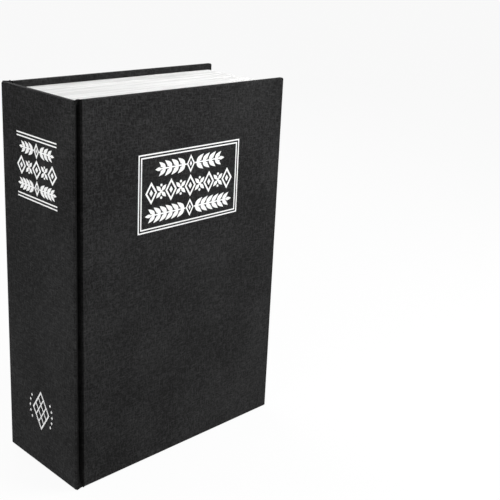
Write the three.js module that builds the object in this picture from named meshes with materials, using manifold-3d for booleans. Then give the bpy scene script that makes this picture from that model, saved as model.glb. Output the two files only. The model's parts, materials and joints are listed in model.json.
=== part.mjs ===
// A hollow book that hides a lockable steel compartment, standing closed on its foot.
// A cloth-covered case holds a shell of pages around a steel box. Behind the front cover a
// hinged steel door closes the box with a cam lock, and two keys on a ring lie inside.
// Millimetres. X runs from the spine to the fore-edge, Y from the front cover to the back
// cover, and Z upward from the foot. The origin is the middle of the foot.

import * as THREE from 'three';
import { mergeVertices } from 'three/addons/utils/BufferGeometryUtils.js';
import Module from 'manifold-3d';

const wasm = await Module();
wasm.setup();

// Closed book
const WIDTH = 124;
const THICKNESS = 55;
const HEIGHT = 180;

// Case: boards covered with cloth, lined with paper
const COVER_BOARD = 2.2;
const SPINE_BOARD = 2;
const CLOTH = 0.3;
const PAPER = 0.2;
const TURN_IN = 12;
const LINING_MARGIN = 3;
const JOINT_WIDTH = 4.6;
const JOINT_PAPER = 5;
const GROOVE_DEPTH = 2;
const GROOVE_ROUND = 0.6;
const GROOVE_LAP = 0.2;
const EDGE_ROUND = 0.8;
const SPINE_ROUND = 0.8;
const COVER_GAP = 0.3;
const SPINE_GAP = 0.4;
const HINGE_GLUE = 1.5;

// Shell of pages
const SQUARE = 3;
const PAGE_WALL = 3;
const PAGE_FORE = 2.5;
const PAGE_SPINE = 2;
const PAGE_SHEAVES = 26;
const PAGE_RELIEF = 0.4;
const FIT_GAP = 0.2;

// Steel box
const SHEET = 1;
const BOX_BEND = 1;

// Door: a pan with four flanges, rolled round the hinge pins
const DOOR_RECESS = 2.4;
const DOOR_DEPTH = 6;
const DOOR_BEND = 0.8;
const DOOR_SIDE_GAP = 0.8;
const DOOR_END_GAP = 0.6;
const ROLL = 4;
const HINGE_CLEAR = 1.5;
const HINGE_FLANGE = 3;
const GUSSET_DEPTH = 10;
const GUSSET_LENGTH = 38;
const GUSSET_HEIGHT = 12;

// Hinge pins and their washers
const PIN_RADIUS = 1.5;
const PIN_GAP = 0.1;
const PIN_REACH = 1.6;
const PIN_CHAMFER = 0.4;
const PIN_HEAD_RADIUS = 2.8;
const PIN_HEAD = 1;
const POCKET_GAP = 0.2;
const HINGE_WASHER_RADIUS = 3.4;
const HINGE_WASHER = 0.4;

// Strike strip, welded inside the fore-edge wall
const STRIP = 0.8;
const STRIP_BEND = 0.6;
const LIP_WIDTH = 8;
const LEG_WIDTH = 8;
const STRIKE_MARGIN = 15;
const STOP_GAP = 0.4;
const STRIKE_CLEAR = 0.6;

// Rivets: four hold the box to the back cover, two hold it to the pages
const RIVET_RADIUS = 1.5;
const RIVET_GAP = 0.1;
const RIVET_HEAD_RADIUS = 2.9;
const RIVET_HEAD = 1;
const RIVET_CROWN_SHARES = [[0, 1], [0.5, 1], [0.85, 0.6]];
const RIVET_TAIL_RADIUS = 2.5;
const RIVET_TAIL = 0.5;
const RIVET_INSET = 16;
const SIDE_RIVET_DEPTH = 30;

// Lock body, its nut and its toothed washer
const LOCK_HEAD_RADIUS = 8;
const LOCK_HEAD = 2;
const LOCK_CHAMFER = 0.5;
const BARREL_RADIUS = 6;
const BARREL_FLAT = 5;
const BARREL_LENGTH = 18.8;
const LOCK_GAP = 0.1;
const NOTCH_DEPTH = 2;
const NUT_FLAT = 8;
const NUT = 5;
const NUT_CHAMFER = 1;
const TOOTH_WASHER = 0.8;
const TOOTH_ROOT_RADIUS = 7.9;
const TOOTH_TIP_RADIUS = 9.3;
const TEETH = 12;
const TOOTH_STEPS = 4;

// Plug and what it turns
const PLUG_RADIUS = 4.2;
const PLUG_RECESS = 0.3;
const PLUG_CHAMFER = 0.3;
const KEYWAY_GAP = 0.1;
const KEYWAY_STOP = 1.5;
const TAIL_RADIUS = 3.4;
const TAIL_FLAT = 2.4;
const STOP_WASHER = 0.8;
const STOP_WASHER_RADIUS = 5.9;
const STOP_TAB_RADIUS = 5.7;
const STOP_TAB_GAP = 0.3;
const STOP_TAB_ANGLE = 20;
const STOP_TAB_REST = -45;
const STOP_TAB_PLAY = 1;
const LOCK_TURN = 90;
const CAM_SHEET = 1.6;
const CAM_WIDTH = 10;
const CAM_REACH = 26;
const CAM_TAIL = 6.4;
const CAM_STEP = 9.5;
const CAM_OFFSET = 11.5;
const CAM_BEND = 1.2;
const CAM_TIP_ROUND = 4;
const CAM_TAIL_ROUND = 3.5;
const SPRING_WASHER = 0.8;
const SPRING_WASHER_RADIUS = 3.6;
const SPRING_WASHER_SLIT = 0.6;
const SCREW_RADIUS = 1.5;
const SCREW_LENGTH = 5;
const SCREW_FLAT = 3.5;
const SCREW_HEAD = 2.8;
const SCREW_CHAMFER = 0.5;

// Keys
const KEY_END_GAP = 9;
const BLADE_WIDTH = 6;
const BLADE_THICKNESS = 1.8;
const BLADE_TIP_WIDTH = 2.4;
const BLADE_POINT_SHARE = 0.115;
const BIT_START_SHARE = 0.24;
const BIT_PITCH_SHARE = 0.125;
const BIT_FLAT_SHARE = 0.033;
const BIT_DEPTH = 1.1;
const BIT_DEPTH_SHARES = [0.35, 0.8, 0.5, 1, 0.6];
const MILL_WIDTH = 1.3;
const MILL_DEPTH = 0.45;
const TANG_LENGTH = 8;
const TANG_WIDTH = 4.4;
const TANG_GAP = 0.05;
const BOW_LENGTH = 20;
const BOW_WIDTH = 19;
const BOW_THICKNESS = 4.6;
const BOW_EDGE = 0.6;
const BOW_ROUND = 2.6;
const BOW_LARGE_ROUND = 6;
const SLOT_INSET = 1.8;
const SLOT_WIDTH = 3.4;
const SLOT_END_MARGIN = 3.75;
const PANEL_DEPTH = 0.4;
const PANEL_LENGTH = 8.4;
const PANEL_MARGIN = 2.4;
const PANEL_SPACE = 2;
const PANEL_ROUND = 1.4;
const COLLAR_GROOVE = 0.7;
const COLLAR_LENGTH = 1.6;

// Key ring: two turns of wire pressed together
const RING_RADIUS = 9;
const RING_WIRE_RADIUS = 0.6;
const RING_TURN_PRESS = 0.2;
const RING_PLAY = 0.3;
const RING_DEPTH = 27.5;
const FLOOR_GAP = 0.3;
const KEY_SWING = 8;

// Cuts run this far past the surfaces that they open
const OVERRUN = 1;
const WELD = 0.0001;

// Facets
const BEND_STEPS = 2;
const ROLL_STEPS = 4;
const GROOVE_STEPS = 8;
const GROOVE_ROUND_STEPS = 4;
const ROUND_STEPS = 32;
const SMALL_STEPS = 20;
const RING_STEPS = 40;
const WIRE_STEPS = 8;
const HEX = 6;

const QUARTER = Math.PI / 2;
const GOLDEN_SHARE = 0.618;

const left = -WIDTH / 2;
const right = WIDTH / 2;
const front = -THICKNESS / 2;
const back = THICKNESS / 2;

// Layers of the two covers, from the outer face inward
const frontBoardOut = front + CLOTH;
const frontBoardIn = frontBoardOut + COVER_BOARD;
const frontHem = frontBoardIn + CLOTH;
const frontLining = frontHem + PAPER;
const backBoardOut = back - CLOTH;
const backBoardIn = backBoardOut - COVER_BOARD;
const backHem = backBoardIn - CLOTH;
const backLining = backHem - PAPER;

// Layers of the spine. The groove's cloth runs from the spine's corner to the cover's edge.
const spineBoardOut = left + CLOTH;
const spineBoardIn = spineBoardOut + SPINE_BOARD;
const spineInner = spineBoardIn + CLOTH;
const grooveStart = left + SPINE_ROUND;
const coverHinge = left + JOINT_WIDTH;

// Pages
const pageLeft = spineInner + SPINE_GAP;
const pageRight = right - SQUARE;
const pageBottom = SQUARE;
const pageTop = HEIGHT - SQUARE;
const pageFront = frontLining + COVER_GAP;
const pageBack = backLining;
const paperHinge = pageLeft + JOINT_PAPER;

// Box, outside and inside
const boxLeft = pageLeft + PAGE_SPINE + FIT_GAP;
const boxRight = pageRight - PAGE_FORE - FIT_GAP;
const boxBottom = pageBottom + PAGE_WALL + FIT_GAP;
const boxTop = pageTop - PAGE_WALL - FIT_GAP;
const roomLeft = boxLeft + SHEET;
const roomRight = boxRight - SHEET;
const roomBottom = boxBottom + SHEET;
const roomTop = boxTop - SHEET;
const roomBack = pageBack - SHEET;

// Door
const doorFront = pageFront + DOOR_RECESS;
const doorBack = doorFront + DOOR_DEPTH;
const doorBottom = roomBottom + DOOR_END_GAP;
const doorTop = roomTop - DOOR_END_GAP;
const doorRight = roomRight - DOOR_SIDE_GAP;
const pinX = roomLeft + HINGE_CLEAR + ROLL;
const pinY = doorFront + ROLL;
const doorLeft = pinX - ROLL;

// Strike and lock
const lipFront = doorBack + STOP_GAP;
const legInner = roomRight - STRIP;
const lockX = legInner - STRIKE_CLEAR - Math.hypot(CAM_REACH, CAM_WIDTH / 2);
const lockZ = (doorBottom + doorTop) / 2;

// Where the rivets stand
const rivetLeft = roomLeft + RIVET_INSET;
const rivetRight = roomRight - RIVET_INSET;
const rivetLow = roomBottom + RIVET_INSET;
const rivetHigh = roomTop - RIVET_INSET;
const sideRivetY = pageFront + SIDE_RIVET_DEPTH;

const cloth = new THREE.MeshStandardMaterial({ color: 0x2c2c2e, roughness: 0.85, metalness: 0 });
const board = new THREE.MeshStandardMaterial({ color: 0x8a8172, roughness: 0.95, metalness: 0 });
const paper = new THREE.MeshStandardMaterial({ color: 0xf2f1ee, roughness: 0.9, metalness: 0 });
const paint = new THREE.MeshStandardMaterial({ color: 0x1b1b1c, roughness: 0.5, metalness: 0.3 });
const nickel = new THREE.MeshStandardMaterial({ color: 0xc4c2bd, roughness: 0.25, metalness: 1 });
const zinc = new THREE.MeshStandardMaterial({ color: 0xa9aaac, roughness: 0.4, metalness: 1 });
const plastic = new THREE.MeshStandardMaterial({ color: 0x161617, roughness: 0.45, metalness: 0 });

// A closed mesh with shared corners, as a solid that can be joined and cut
function solid(geometry) {
  geometry.deleteAttribute('normal');
  geometry.deleteAttribute('uv');
  const { index, attributes } = mergeVertices(geometry, WELD);
  const triangles = [];
  for (let corner = 0; corner < index.count; corner += 3) {
    const [a, b, c] = [index.getX(corner), index.getX(corner + 1), index.getX(corner + 2)];
    if (a !== b && b !== c && c !== a) {
      triangles.push(a, b, c);
    }
  }
  return new wasm.Manifold(new wasm.Mesh({
    numProp: 3,
    vertProperties: attributes.position.array,
    triVerts: Uint32Array.from(triangles),
  }));
}

function piece(name, body, material) {
  const { vertProperties, triVerts } = body.getMesh();
  const geometry = new THREE.BufferGeometry();
  geometry.setAttribute('position', new THREE.BufferAttribute(vertProperties, 3));
  geometry.setIndex(new THREE.BufferAttribute(triVerts, 1));
  geometry.computeVertexNormals();
  const mesh = new THREE.Mesh(geometry, material);
  mesh.name = name;
  return mesh;
}

function block(x0, x1, y0, y1, z0, z1) {
  const geometry = new THREE.BoxGeometry(x1 - x0, y1 - y0, z1 - z0);
  geometry.translate((x0 + x1) / 2, (y0 + y1) / 2, (z0 + z1) / 2);
  return solid(geometry);
}

// Prisms: the outline lies in the plane square to the named axis, with its two
// coordinates in the order X, Y, Z
function prismZ(shape, z0, z1, curveSegments = BEND_STEPS) {
  const geometry = new THREE.ExtrudeGeometry(shape, { depth: z1 - z0, bevelEnabled: false, curveSegments });
  geometry.translate(0, 0, z0);
  return solid(geometry);
}

function prismY(shape, y0, y1, curveSegments = BEND_STEPS) {
  const geometry = new THREE.ExtrudeGeometry(shape, { depth: y1 - y0, bevelEnabled: false, curveSegments });
  geometry.rotateX(QUARTER);
  geometry.translate(0, y1, 0);
  return solid(geometry);
}

function prismX(shape, x0, x1, curveSegments = BEND_STEPS) {
  const geometry = new THREE.ExtrudeGeometry(shape, { depth: x1 - x0, bevelEnabled: false, curveSegments });
  const turn = new THREE.Matrix4();
  turn.makeBasis(new THREE.Vector3(0, 1, 0), new THREE.Vector3(0, 0, 1), new THREE.Vector3(1, 0, 0));
  geometry.applyMatrix4(turn);
  geometry.translate(x0, 0, 0);
  return solid(geometry);
}

// A profile of [radius, height] points, revolved about the axis named by its letter
function turned(profile, axis, steps = ROUND_STEPS) {
  const points = profile.map(([radius, height]) => new THREE.Vector2(radius, height));
  if (profile[0][0] > 0) {
    points.push(points[0].clone());
  }
  if (THREE.ShapeUtils.area(points) < 0) {
    points.reverse();
  }
  const geometry = new THREE.LatheGeometry(points, steps);
  if (axis === 'z') {
    geometry.rotateX(QUARTER);
  }
  if (axis === 'x') {
    geometry.rotateZ(-QUARTER);
  }
  return solid(geometry);
}

function rod(radius, low, high, axis, steps = ROUND_STEPS) {
  return turned([[0, low], [radius, low], [radius, high], [0, high]], axis, steps);
}

function outline(points) {
  return new THREE.Shape(points.map(([u, v]) => new THREE.Vector2(u, v)));
}

// A rectangle whose corners have the given radii, from the low corner anticlockwise
function rectangle(u0, u1, v0, v1, radii = [0, 0, 0, 0]) {
  const [first, second, third, fourth] = radii;
  const corners = [
    [u1 - second, v0 + second, second, -QUARTER],
    [u1 - third, v1 - third, third, 0],
    [u0 + fourth, v1 - fourth, fourth, QUARTER],
    [u0 + first, v0 + first, first, 2 * QUARTER],
  ];
  const shape = new THREE.Shape();
  shape.moveTo(u0 + first, v0);
  for (const [u, v, radius, start] of corners) {
    if (radius > 0) {
      shape.absarc(u, v, radius, start, start + QUARTER, false);
    } else {
      shape.lineTo(u, v);
    }
  }
  return shape;
}

// A part of a ring between two radii, with angles in degrees from +Z toward +X
function sector(inner, outer, from, to) {
  const start = QUARTER - THREE.MathUtils.degToRad(to);
  const end = QUARTER - THREE.MathUtils.degToRad(from);
  const shape = new THREE.Shape();
  shape.absarc(0, 0, outer, start, end, false);
  shape.absarc(0, 0, inner, end, start, true);
  shape.closePath();
  return shape;
}

function hexagon(flat) {
  const reach = flat / Math.cos(Math.PI / HEX);
  const corners = [];
  for (let corner = 0; corner < HEX; corner += 1) {
    const angle = (2 * corner + 1) * Math.PI / HEX;
    corners.push([reach * Math.sin(angle), reach * Math.cos(angle)]);
  }
  return outline(corners.reverse());
}

// A round bar about Y with two flats facing X
function flattened(radius, flat, y0, y1) {
  const bar = rod(radius, y0, y1, 'y');
  return bar.intersect(block(-flat, flat, y0 - OVERRUN, y1 + OVERRUN, -2 * radius, 2 * radius));
}

// One of the case's covered boards: `inset` is zero for the cloth's outer form and the
// cloth's thickness for the board in it. The edge toward the joint stays square.
function coverForm(yOut, yIn, inset, hingeX) {
  const round = EDGE_ROUND - inset;
  const [y0, y1] = [Math.min(yOut, yIn), Math.max(yOut, yIn)];
  const [z0, z1, x1] = [inset, HEIGHT - inset, right - inset];
  return prismZ(rectangle(hingeX, x1, y0, y1, [0, round, round, 0]), z0, z1)
    .intersect(prismX(rectangle(y0, y1, z0, z1, [round, round, round, round]), hingeX, x1))
    .intersect(prismY(rectangle(hingeX, x1, z0, z1, [0, round, round, 0]), y0, y1));
}

function spineForm(inset, innerX) {
  const round = EDGE_ROUND - inset;
  const bend = SPINE_ROUND - inset;
  const [x0, y0, y1] = [left + inset, front + inset, back - inset];
  const [z0, z1] = [inset, HEIGHT - inset];
  return prismZ(rectangle(x0, innerX, y0, y1, [bend, 0, 0, bend]), z0, z1)
    .intersect(prismX(rectangle(y0, y1, z0, z1, [round, round, round, round]), x0, innerX))
    .intersect(prismY(rectangle(x0, innerX, z0, z1, [round, 0, 0, round]), y0, y1));
}

// The groove between the spine and a cover, as [x, depth] points: a slope from the spine's
// corner, a bend at the bottom, and a wall that turns over onto the cover. `sunk` is zero
// for the cloth's outer face and its thickness for the inner one.
function grooveLine(sunk) {
  const bottom = coverHinge - 2 * GROOVE_ROUND;
  const slopeWidth = bottom - grooveStart;
  const slope = [];
  for (let step = 0; step <= GROOVE_STEPS; step += 1) {
    const turn = Math.PI * step / GROOVE_STEPS;
    const lean = Math.atan2(GROOVE_DEPTH * Math.PI * Math.sin(turn) / 2, slopeWidth);
    slope.push([
      grooveStart + slopeWidth * step / GROOVE_STEPS - sunk * Math.sin(lean),
      GROOVE_DEPTH * (1 - Math.cos(turn)) / 2 + sunk * Math.cos(lean),
    ]);
  }
  const bendRadius = GROOVE_ROUND + sunk;
  const bendDepth = GROOVE_DEPTH - GROOVE_ROUND;
  const edgeRadius = GROOVE_ROUND - sunk;
  const bend = [];
  const edge = [];
  for (let step = 1; step <= GROOVE_ROUND_STEPS; step += 1) {
    const turn = QUARTER * step / GROOVE_ROUND_STEPS;
    bend.push([bottom + bendRadius * Math.sin(turn), bendDepth + bendRadius * Math.cos(turn)]);
    edge.push([coverHinge - edgeRadius * Math.sin(turn), GROOVE_ROUND - edgeRadius * Math.cos(turn)]);
  }
  return [...slope, ...bend, ...edge.reverse(), [coverHinge, sunk]];
}

// The groove's cloth: `side` is 1 where it dips toward +Y. `lap` is how far its two edges
// run into the cloth beside them, where all three are one piece.
function grooveCloth(face, side, lap) {
  const points = [
    [grooveStart - lap, CLOTH / 2], ...grooveLine(0),
    [coverHinge + lap, CLOTH / 2], ...grooveLine(CLOTH).reverse(),
  ];
  return prismZ(outline(points.map(([x, depth]) => [x, face + side * depth])), 0, HEIGHT);
}

// Everything outside the line that lies `sunk` below the outer face of the groove's cloth
function grooveRoom(face, side, sunk) {
  const points = [[grooveStart, -OVERRUN], ...grooveLine(sunk), [coverHinge, -OVERRUN]];
  const shape = outline(points.map(([x, depth]) => [x, face + side * depth]));
  return prismZ(shape, -OVERRUN, HEIGHT + OVERRUN);
}

// The cloth of one cover: its outer face, its hems and its turned-in margin
function coverCloth(yOut, boardOut, boardIn, hem, inward) {
  const [low, high] = [Math.min(boardIn, hem + inward), Math.max(boardIn, hem + inward)];
  return coverForm(yOut, hem, 0, coverHinge)
    .subtract(coverForm(boardOut, boardIn, CLOTH, coverHinge - OVERRUN))
    .subtract(block(coverHinge - OVERRUN, right - TURN_IN, low - CLOTH, high, TURN_IN, HEIGHT - TURN_IN));
}

// The paper inside a cover: a sheet over the margin, pressed down to the board within it
function coverLining(boardIn, lining, x0) {
  const pressedStart = Math.max(x0, coverHinge);
  const [y0, y1] = [Math.min(boardIn, lining), Math.max(boardIn, lining)];
  const [hemLow, hemHigh] = boardIn < lining ? [lining - PAPER, lining] : [lining, lining + PAPER];
  return block(x0, right - LINING_MARGIN, hemLow, hemHigh, LINING_MARGIN, HEIGHT - LINING_MARGIN)
    .add(block(pressedStart, right - TURN_IN, y0, y1, TURN_IN, HEIGHT - TURN_IN));
}

function frontCover() {
  const group = new THREE.Group();
  const boardBody = coverForm(frontBoardOut, frontBoardIn, CLOTH, coverHinge);
  const clothBody = coverCloth(front, frontBoardOut, frontBoardIn, frontHem, OVERRUN);
  group.add(
    piece('front_board', boardBody, board),
    piece('front_cover_cloth', clothBody, cloth),
    piece('front_pastedown', coverLining(frontBoardIn, frontLining, paperHinge), paper),
  );
  return group;
}

// The cloth over the spine: it ends at the front groove's cloth and runs into the back one
function spineCloth() {
  return spineForm(0, spineInner)
    .subtract(grooveRoom(front, 1, CLOTH))
    .subtract(grooveRoom(back, -1, CLOTH / 2))
    .subtract(spineForm(CLOTH, spineBoardIn))
    .subtract(block(
      spineBoardIn - CLOTH, spineInner + OVERRUN,
      frontBoardOut, backBoardOut, TURN_IN, HEIGHT - TURN_IN,
    ));
}

// The spine board's two long edges slope away under the cloth of the grooves
function spineBoard() {
  return spineForm(CLOTH, spineBoardIn)
    .subtract(grooveRoom(front, 1, CLOTH))
    .subtract(grooveRoom(back, -1, CLOTH));
}

// The endpaper that crosses the front joint, glued to the pages along its foot
function jointPaper() {
  return block(pageLeft, paperHinge, frontHem, frontLining, LINING_MARGIN, HEIGHT - LINING_MARGIN)
    .add(block(pageLeft, pageLeft + HINGE_GLUE, frontHem, pageFront, LINING_MARGIN, HEIGHT - LINING_MARGIN));
}

function rivetPlaces() {
  return [
    [rivetLeft, rivetLow],
    [rivetRight, rivetLow],
    [rivetLeft, rivetHigh],
    [rivetRight, rivetHigh],
  ];
}

function backRivetHoles() {
  const hole = rod(RIVET_RADIUS + RIVET_GAP, roomBack - OVERRUN, backBoardOut + OVERRUN, 'y', SMALL_STEPS);
  const counterbore = rod(
    RIVET_TAIL_RADIUS + RIVET_GAP, backBoardOut - RIVET_TAIL, backBoardOut + OVERRUN, 'y', SMALL_STEPS,
  );
  const [first, ...others] = rivetPlaces().map(([x, z]) => hole.add(counterbore).translate([x, 0, z]));
  return others.reduce((joined, next) => joined.add(next), first);
}

function sideRivetHoles() {
  const hole = rod(RIVET_RADIUS + RIVET_GAP, pageLeft - OVERRUN, roomLeft + OVERRUN, 'x', SMALL_STEPS);
  const counterbore = rod(
    RIVET_TAIL_RADIUS + RIVET_GAP, pageLeft - OVERRUN, pageLeft + RIVET_TAIL, 'x', SMALL_STEPS,
  );
  const single = hole.add(counterbore);
  return single.translate([0, sideRivetY, rivetLow]).add(single.translate([0, sideRivetY, rivetHigh]));
}

// A rivet along its axis: a domed head at `seat`, a shank, and a flat tail that ends at `end`
function rivet(seat, end, axis) {
  const way = Math.sign(end - seat);
  const crown = RIVET_CROWN_SHARES.map(([radiusShare, heightShare]) => [
    radiusShare * RIVET_HEAD_RADIUS, seat - way * heightShare * RIVET_HEAD,
  ]);
  return turned([
    ...crown,
    [RIVET_HEAD_RADIUS, seat],
    [RIVET_RADIUS, seat],
    [RIVET_RADIUS, end - way * RIVET_TAIL],
    [RIVET_TAIL_RADIUS, end - way * RIVET_TAIL],
    [RIVET_TAIL_RADIUS, end],
    [0, end],
  ], axis, SMALL_STEPS);
}

function backCase() {
  const group = new THREE.Group();
  const boardBody = coverForm(backBoardOut, backBoardIn, CLOTH, coverHinge);
  const clothBody = coverCloth(back, backBoardOut, backBoardIn, backHem, -OVERRUN)
    .add(grooveCloth(back, -1, GROOVE_LAP))
    .add(spineCloth());
  const holes = backRivetHoles();
  group.add(
    piece('spine_board', spineBoard(), board),
    piece('back_board', boardBody.subtract(holes), board),
    piece('case_cloth', clothBody, cloth),
    piece('back_pastedown', coverLining(backBoardIn, backLining, pageLeft).subtract(holes), paper),
    piece('front_joint_cloth', grooveCloth(front, 1, 0), cloth),
    piece('front_joint_paper', jointPaper(), paper),
  );
  return group;
}

// One edge of the pages from front to back: each sheaf stands back by its own small amount
function sheafEdge(edge, inward) {
  const points = [];
  for (let sheaf = 0; sheaf <= PAGE_SHEAVES; sheaf += 1) {
    const y = pageFront + (pageBack - pageFront) * sheaf / PAGE_SHEAVES;
    const ends = sheaf === 0 || sheaf === PAGE_SHEAVES;
    const relief = ends ? 0 : PAGE_RELIEF * ((sheaf * GOLDEN_SHARE) % 1);
    points.push([edge + inward * relief, y]);
  }
  return points;
}

function pageBlock() {
  const foreEdge = sheafEdge(pageRight, -1);
  const head = sheafEdge(pageTop, -1).map(([z, y]) => [y, z]);
  const foot = sheafEdge(pageBottom, 1).map(([z, y]) => [y, z]);
  const plan = outline([[pageLeft, pageBack], [pageLeft, pageFront], ...foreEdge]);
  const side = outline([...foot, ...head.reverse()]);
  const hollow = block(
    boxLeft - FIT_GAP, boxRight + FIT_GAP, pageFront - OVERRUN, pageBack + OVERRUN,
    boxBottom - FIT_GAP, boxTop + FIT_GAP,
  );
  return prismZ(plan, pageBottom, pageTop)
    .intersect(prismX(side, pageLeft, pageRight))
    .subtract(hollow)
    .subtract(pinPocket(boxTop, 1))
    .subtract(pinPocket(boxBottom, -1))
    .subtract(sideRivetHoles());
}

// The space in the pages for a pin's head
function pinPocket(wall, way) {
  const end = wall + way * (PIN_HEAD + POCKET_GAP);
  const [low, high] = [Math.min(wall, end), Math.max(wall, end)];
  return rod(PIN_HEAD_RADIUS + POCKET_GAP, low, high, 'z', SMALL_STEPS).translate([pinX, pinY, 0]);
}

function pinHole(low, high) {
  const hole = rod(PIN_RADIUS + PIN_GAP, low - OVERRUN, high + OVERRUN, 'z', SMALL_STEPS);
  return hole.translate([pinX, pinY, 0]);
}

// A folded tray, open toward the front, with bent edges round its back
function tray(inset, frontY) {
  const bend = BOX_BEND + SHEET - inset;
  const [x0, x1] = [boxLeft + inset, boxRight - inset];
  const [z0, z1] = [boxBottom + inset, boxTop - inset];
  const y1 = pageBack - inset;
  return prismZ(rectangle(x0, x1, frontY, y1, [0, 0, bend, bend]), z0, z1)
    .intersect(prismX(rectangle(frontY, y1, z0, z1, [0, bend, bend, 0]), x0, x1));
}

function boxShell() {
  return tray(0, pageFront)
    .subtract(tray(SHEET, pageFront - OVERRUN))
    .subtract(pinHole(boxBottom, roomBottom))
    .subtract(pinHole(roomTop, boxTop))
    .subtract(backRivetHoles())
    .subtract(sideRivetHoles());
}

// The angle strip that the door stops against and the cam locks behind
function strikeStrip() {
  const bend = STRIP + STRIP_BEND;
  const outer = rectangle(
    roomRight - LIP_WIDTH, roomRight, lipFront, lipFront + LEG_WIDTH, [0, bend, 0, 0],
  );
  const inner = rectangle(
    roomRight - LIP_WIDTH - OVERRUN, legInner, lipFront + STRIP, lipFront + LEG_WIDTH + OVERRUN,
    [0, STRIP_BEND, 0, 0],
  );
  const [low, high] = [roomBottom + STRIKE_MARGIN, roomTop - STRIKE_MARGIN];
  return prismZ(outer, low, high).subtract(prismZ(inner, low - OVERRUN, high + OVERRUN));
}

// A pin pushed in from outside: its head lies on the box wall, its end stands inside the door
function hingePin(wall, way) {
  const end = wall - way * (SHEET + DOOR_END_GAP + SHEET + PIN_REACH);
  return turned([
    [0, wall + way * PIN_HEAD],
    [PIN_HEAD_RADIUS - PIN_CHAMFER, wall + way * PIN_HEAD],
    [PIN_HEAD_RADIUS, wall + way * (PIN_HEAD - PIN_CHAMFER)],
    [PIN_HEAD_RADIUS, wall],
    [PIN_RADIUS, wall],
    [PIN_RADIUS, end + way * PIN_CHAMFER],
    [PIN_RADIUS - PIN_CHAMFER, end],
    [0, end],
  ], 'z', SMALL_STEPS).translate([pinX, pinY, 0]);
}

// A washer halfway between the box wall and the door's flange
function hingeWasher(room, way) {
  const middle = room - way * DOOR_END_GAP / 2;
  const [low, high] = [middle - HINGE_WASHER / 2, middle + HINGE_WASHER / 2];
  return turned([
    [PIN_RADIUS + PIN_GAP, low],
    [HINGE_WASHER_RADIUS, low],
    [HINGE_WASHER_RADIUS, high],
    [PIN_RADIUS + PIN_GAP, high],
  ], 'z', SMALL_STEPS).translate([pinX, pinY, 0]);
}

function compartment() {
  const group = new THREE.Group();
  group.add(
    piece('page_block', pageBlock(), paper),
    piece('box_shell', boxShell(), paint),
    piece('strike_strip', strikeStrip(), paint),
    piece('hinge_pin_top', hingePin(boxTop, 1), zinc),
    piece('hinge_pin_bottom', hingePin(boxBottom, -1), zinc),
    piece('hinge_washer_top', hingeWasher(roomTop, 1), zinc),
    piece('hinge_washer_bottom', hingeWasher(roomBottom, -1), zinc),
  );
  rivetPlaces().forEach(([x, z], place) => {
    const body = rivet(roomBack, backBoardOut, 'y').translate([x, 0, z]);
    group.add(piece(`back_rivet_${place + 1}`, body, zinc));
  });
  [rivetLow, rivetHigh].forEach((z, place) => {
    const body = rivet(roomLeft, pageLeft, 'x').translate([0, sideRivetY, z]);
    group.add(piece(`side_rivet_${place + 1}`, body, zinc));
  });
  return group;
}

// The door seen from above: a straight skin, a bent free edge, and the hinge edge rolled
// round the pin. Its back edge steps down from the gussets to the flanges.
function doorPlan(inset, reach) {
  const bend = DOOR_BEND + SHEET - inset;
  const [x0, x1, y0] = [doorLeft + inset, doorRight - inset, doorFront + inset];
  const shape = new THREE.Shape();
  shape.moveTo(doorLeft + GUSSET_LENGTH, doorBack + reach);
  shape.lineTo(doorLeft + GUSSET_LENGTH - GUSSET_DEPTH, doorFront + GUSSET_DEPTH + reach);
  shape.lineTo(x0, doorFront + GUSSET_DEPTH + reach);
  shape.absarc(pinX, pinY, ROLL - inset, 2 * QUARTER, 3 * QUARTER, false);
  shape.absarc(x1 - bend, y0 + bend, bend, -QUARTER, 0, false);
  shape.lineTo(x1, doorBack + reach);
  return shape;
}

function doorForm(inset, reach) {
  const bend = DOOR_BEND + SHEET - inset;
  const [z0, z1, y0] = [doorBottom + inset, doorTop - inset, doorFront + inset];
  const side = rectangle(y0, doorFront + GUSSET_DEPTH + reach, z0, z1, [bend, 0, 0, bend]);
  return prismZ(doorPlan(inset, reach), z0, z1, ROLL_STEPS)
    .intersect(prismX(side, doorLeft - OVERRUN, doorRight + OVERRUN));
}

function doorPan() {
  const hingeFlangeCut = block(
    doorLeft - OVERRUN, doorLeft + SHEET + OVERRUN,
    pinY + HINGE_FLANGE, doorFront + GUSSET_DEPTH + OVERRUN,
    doorBottom + GUSSET_HEIGHT, doorTop - GUSSET_HEIGHT,
  );
  const lockHole = flattened(
    BARREL_RADIUS + LOCK_GAP, BARREL_FLAT + LOCK_GAP, doorFront - OVERRUN, doorFront + SHEET + OVERRUN,
  ).translate([lockX, 0, lockZ]);
  return doorForm(0, 0)
    .subtract(doorForm(SHEET, OVERRUN))
    .subtract(hingeFlangeCut)
    .subtract(lockHole)
    .subtract(pinHole(doorBottom, doorBottom + SHEET))
    .subtract(pinHole(doorTop - SHEET, doorTop));
}

// The lock, about its own axis: Y counts from the door's front face into the compartment
const nutFront = SHEET + TOOTH_WASHER;
const stopFront = BARREL_LENGTH + LOCK_GAP;
const camFront = stopFront + STOP_WASHER + LOCK_GAP;
const camBack = camFront + CAM_SHEET;

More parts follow.
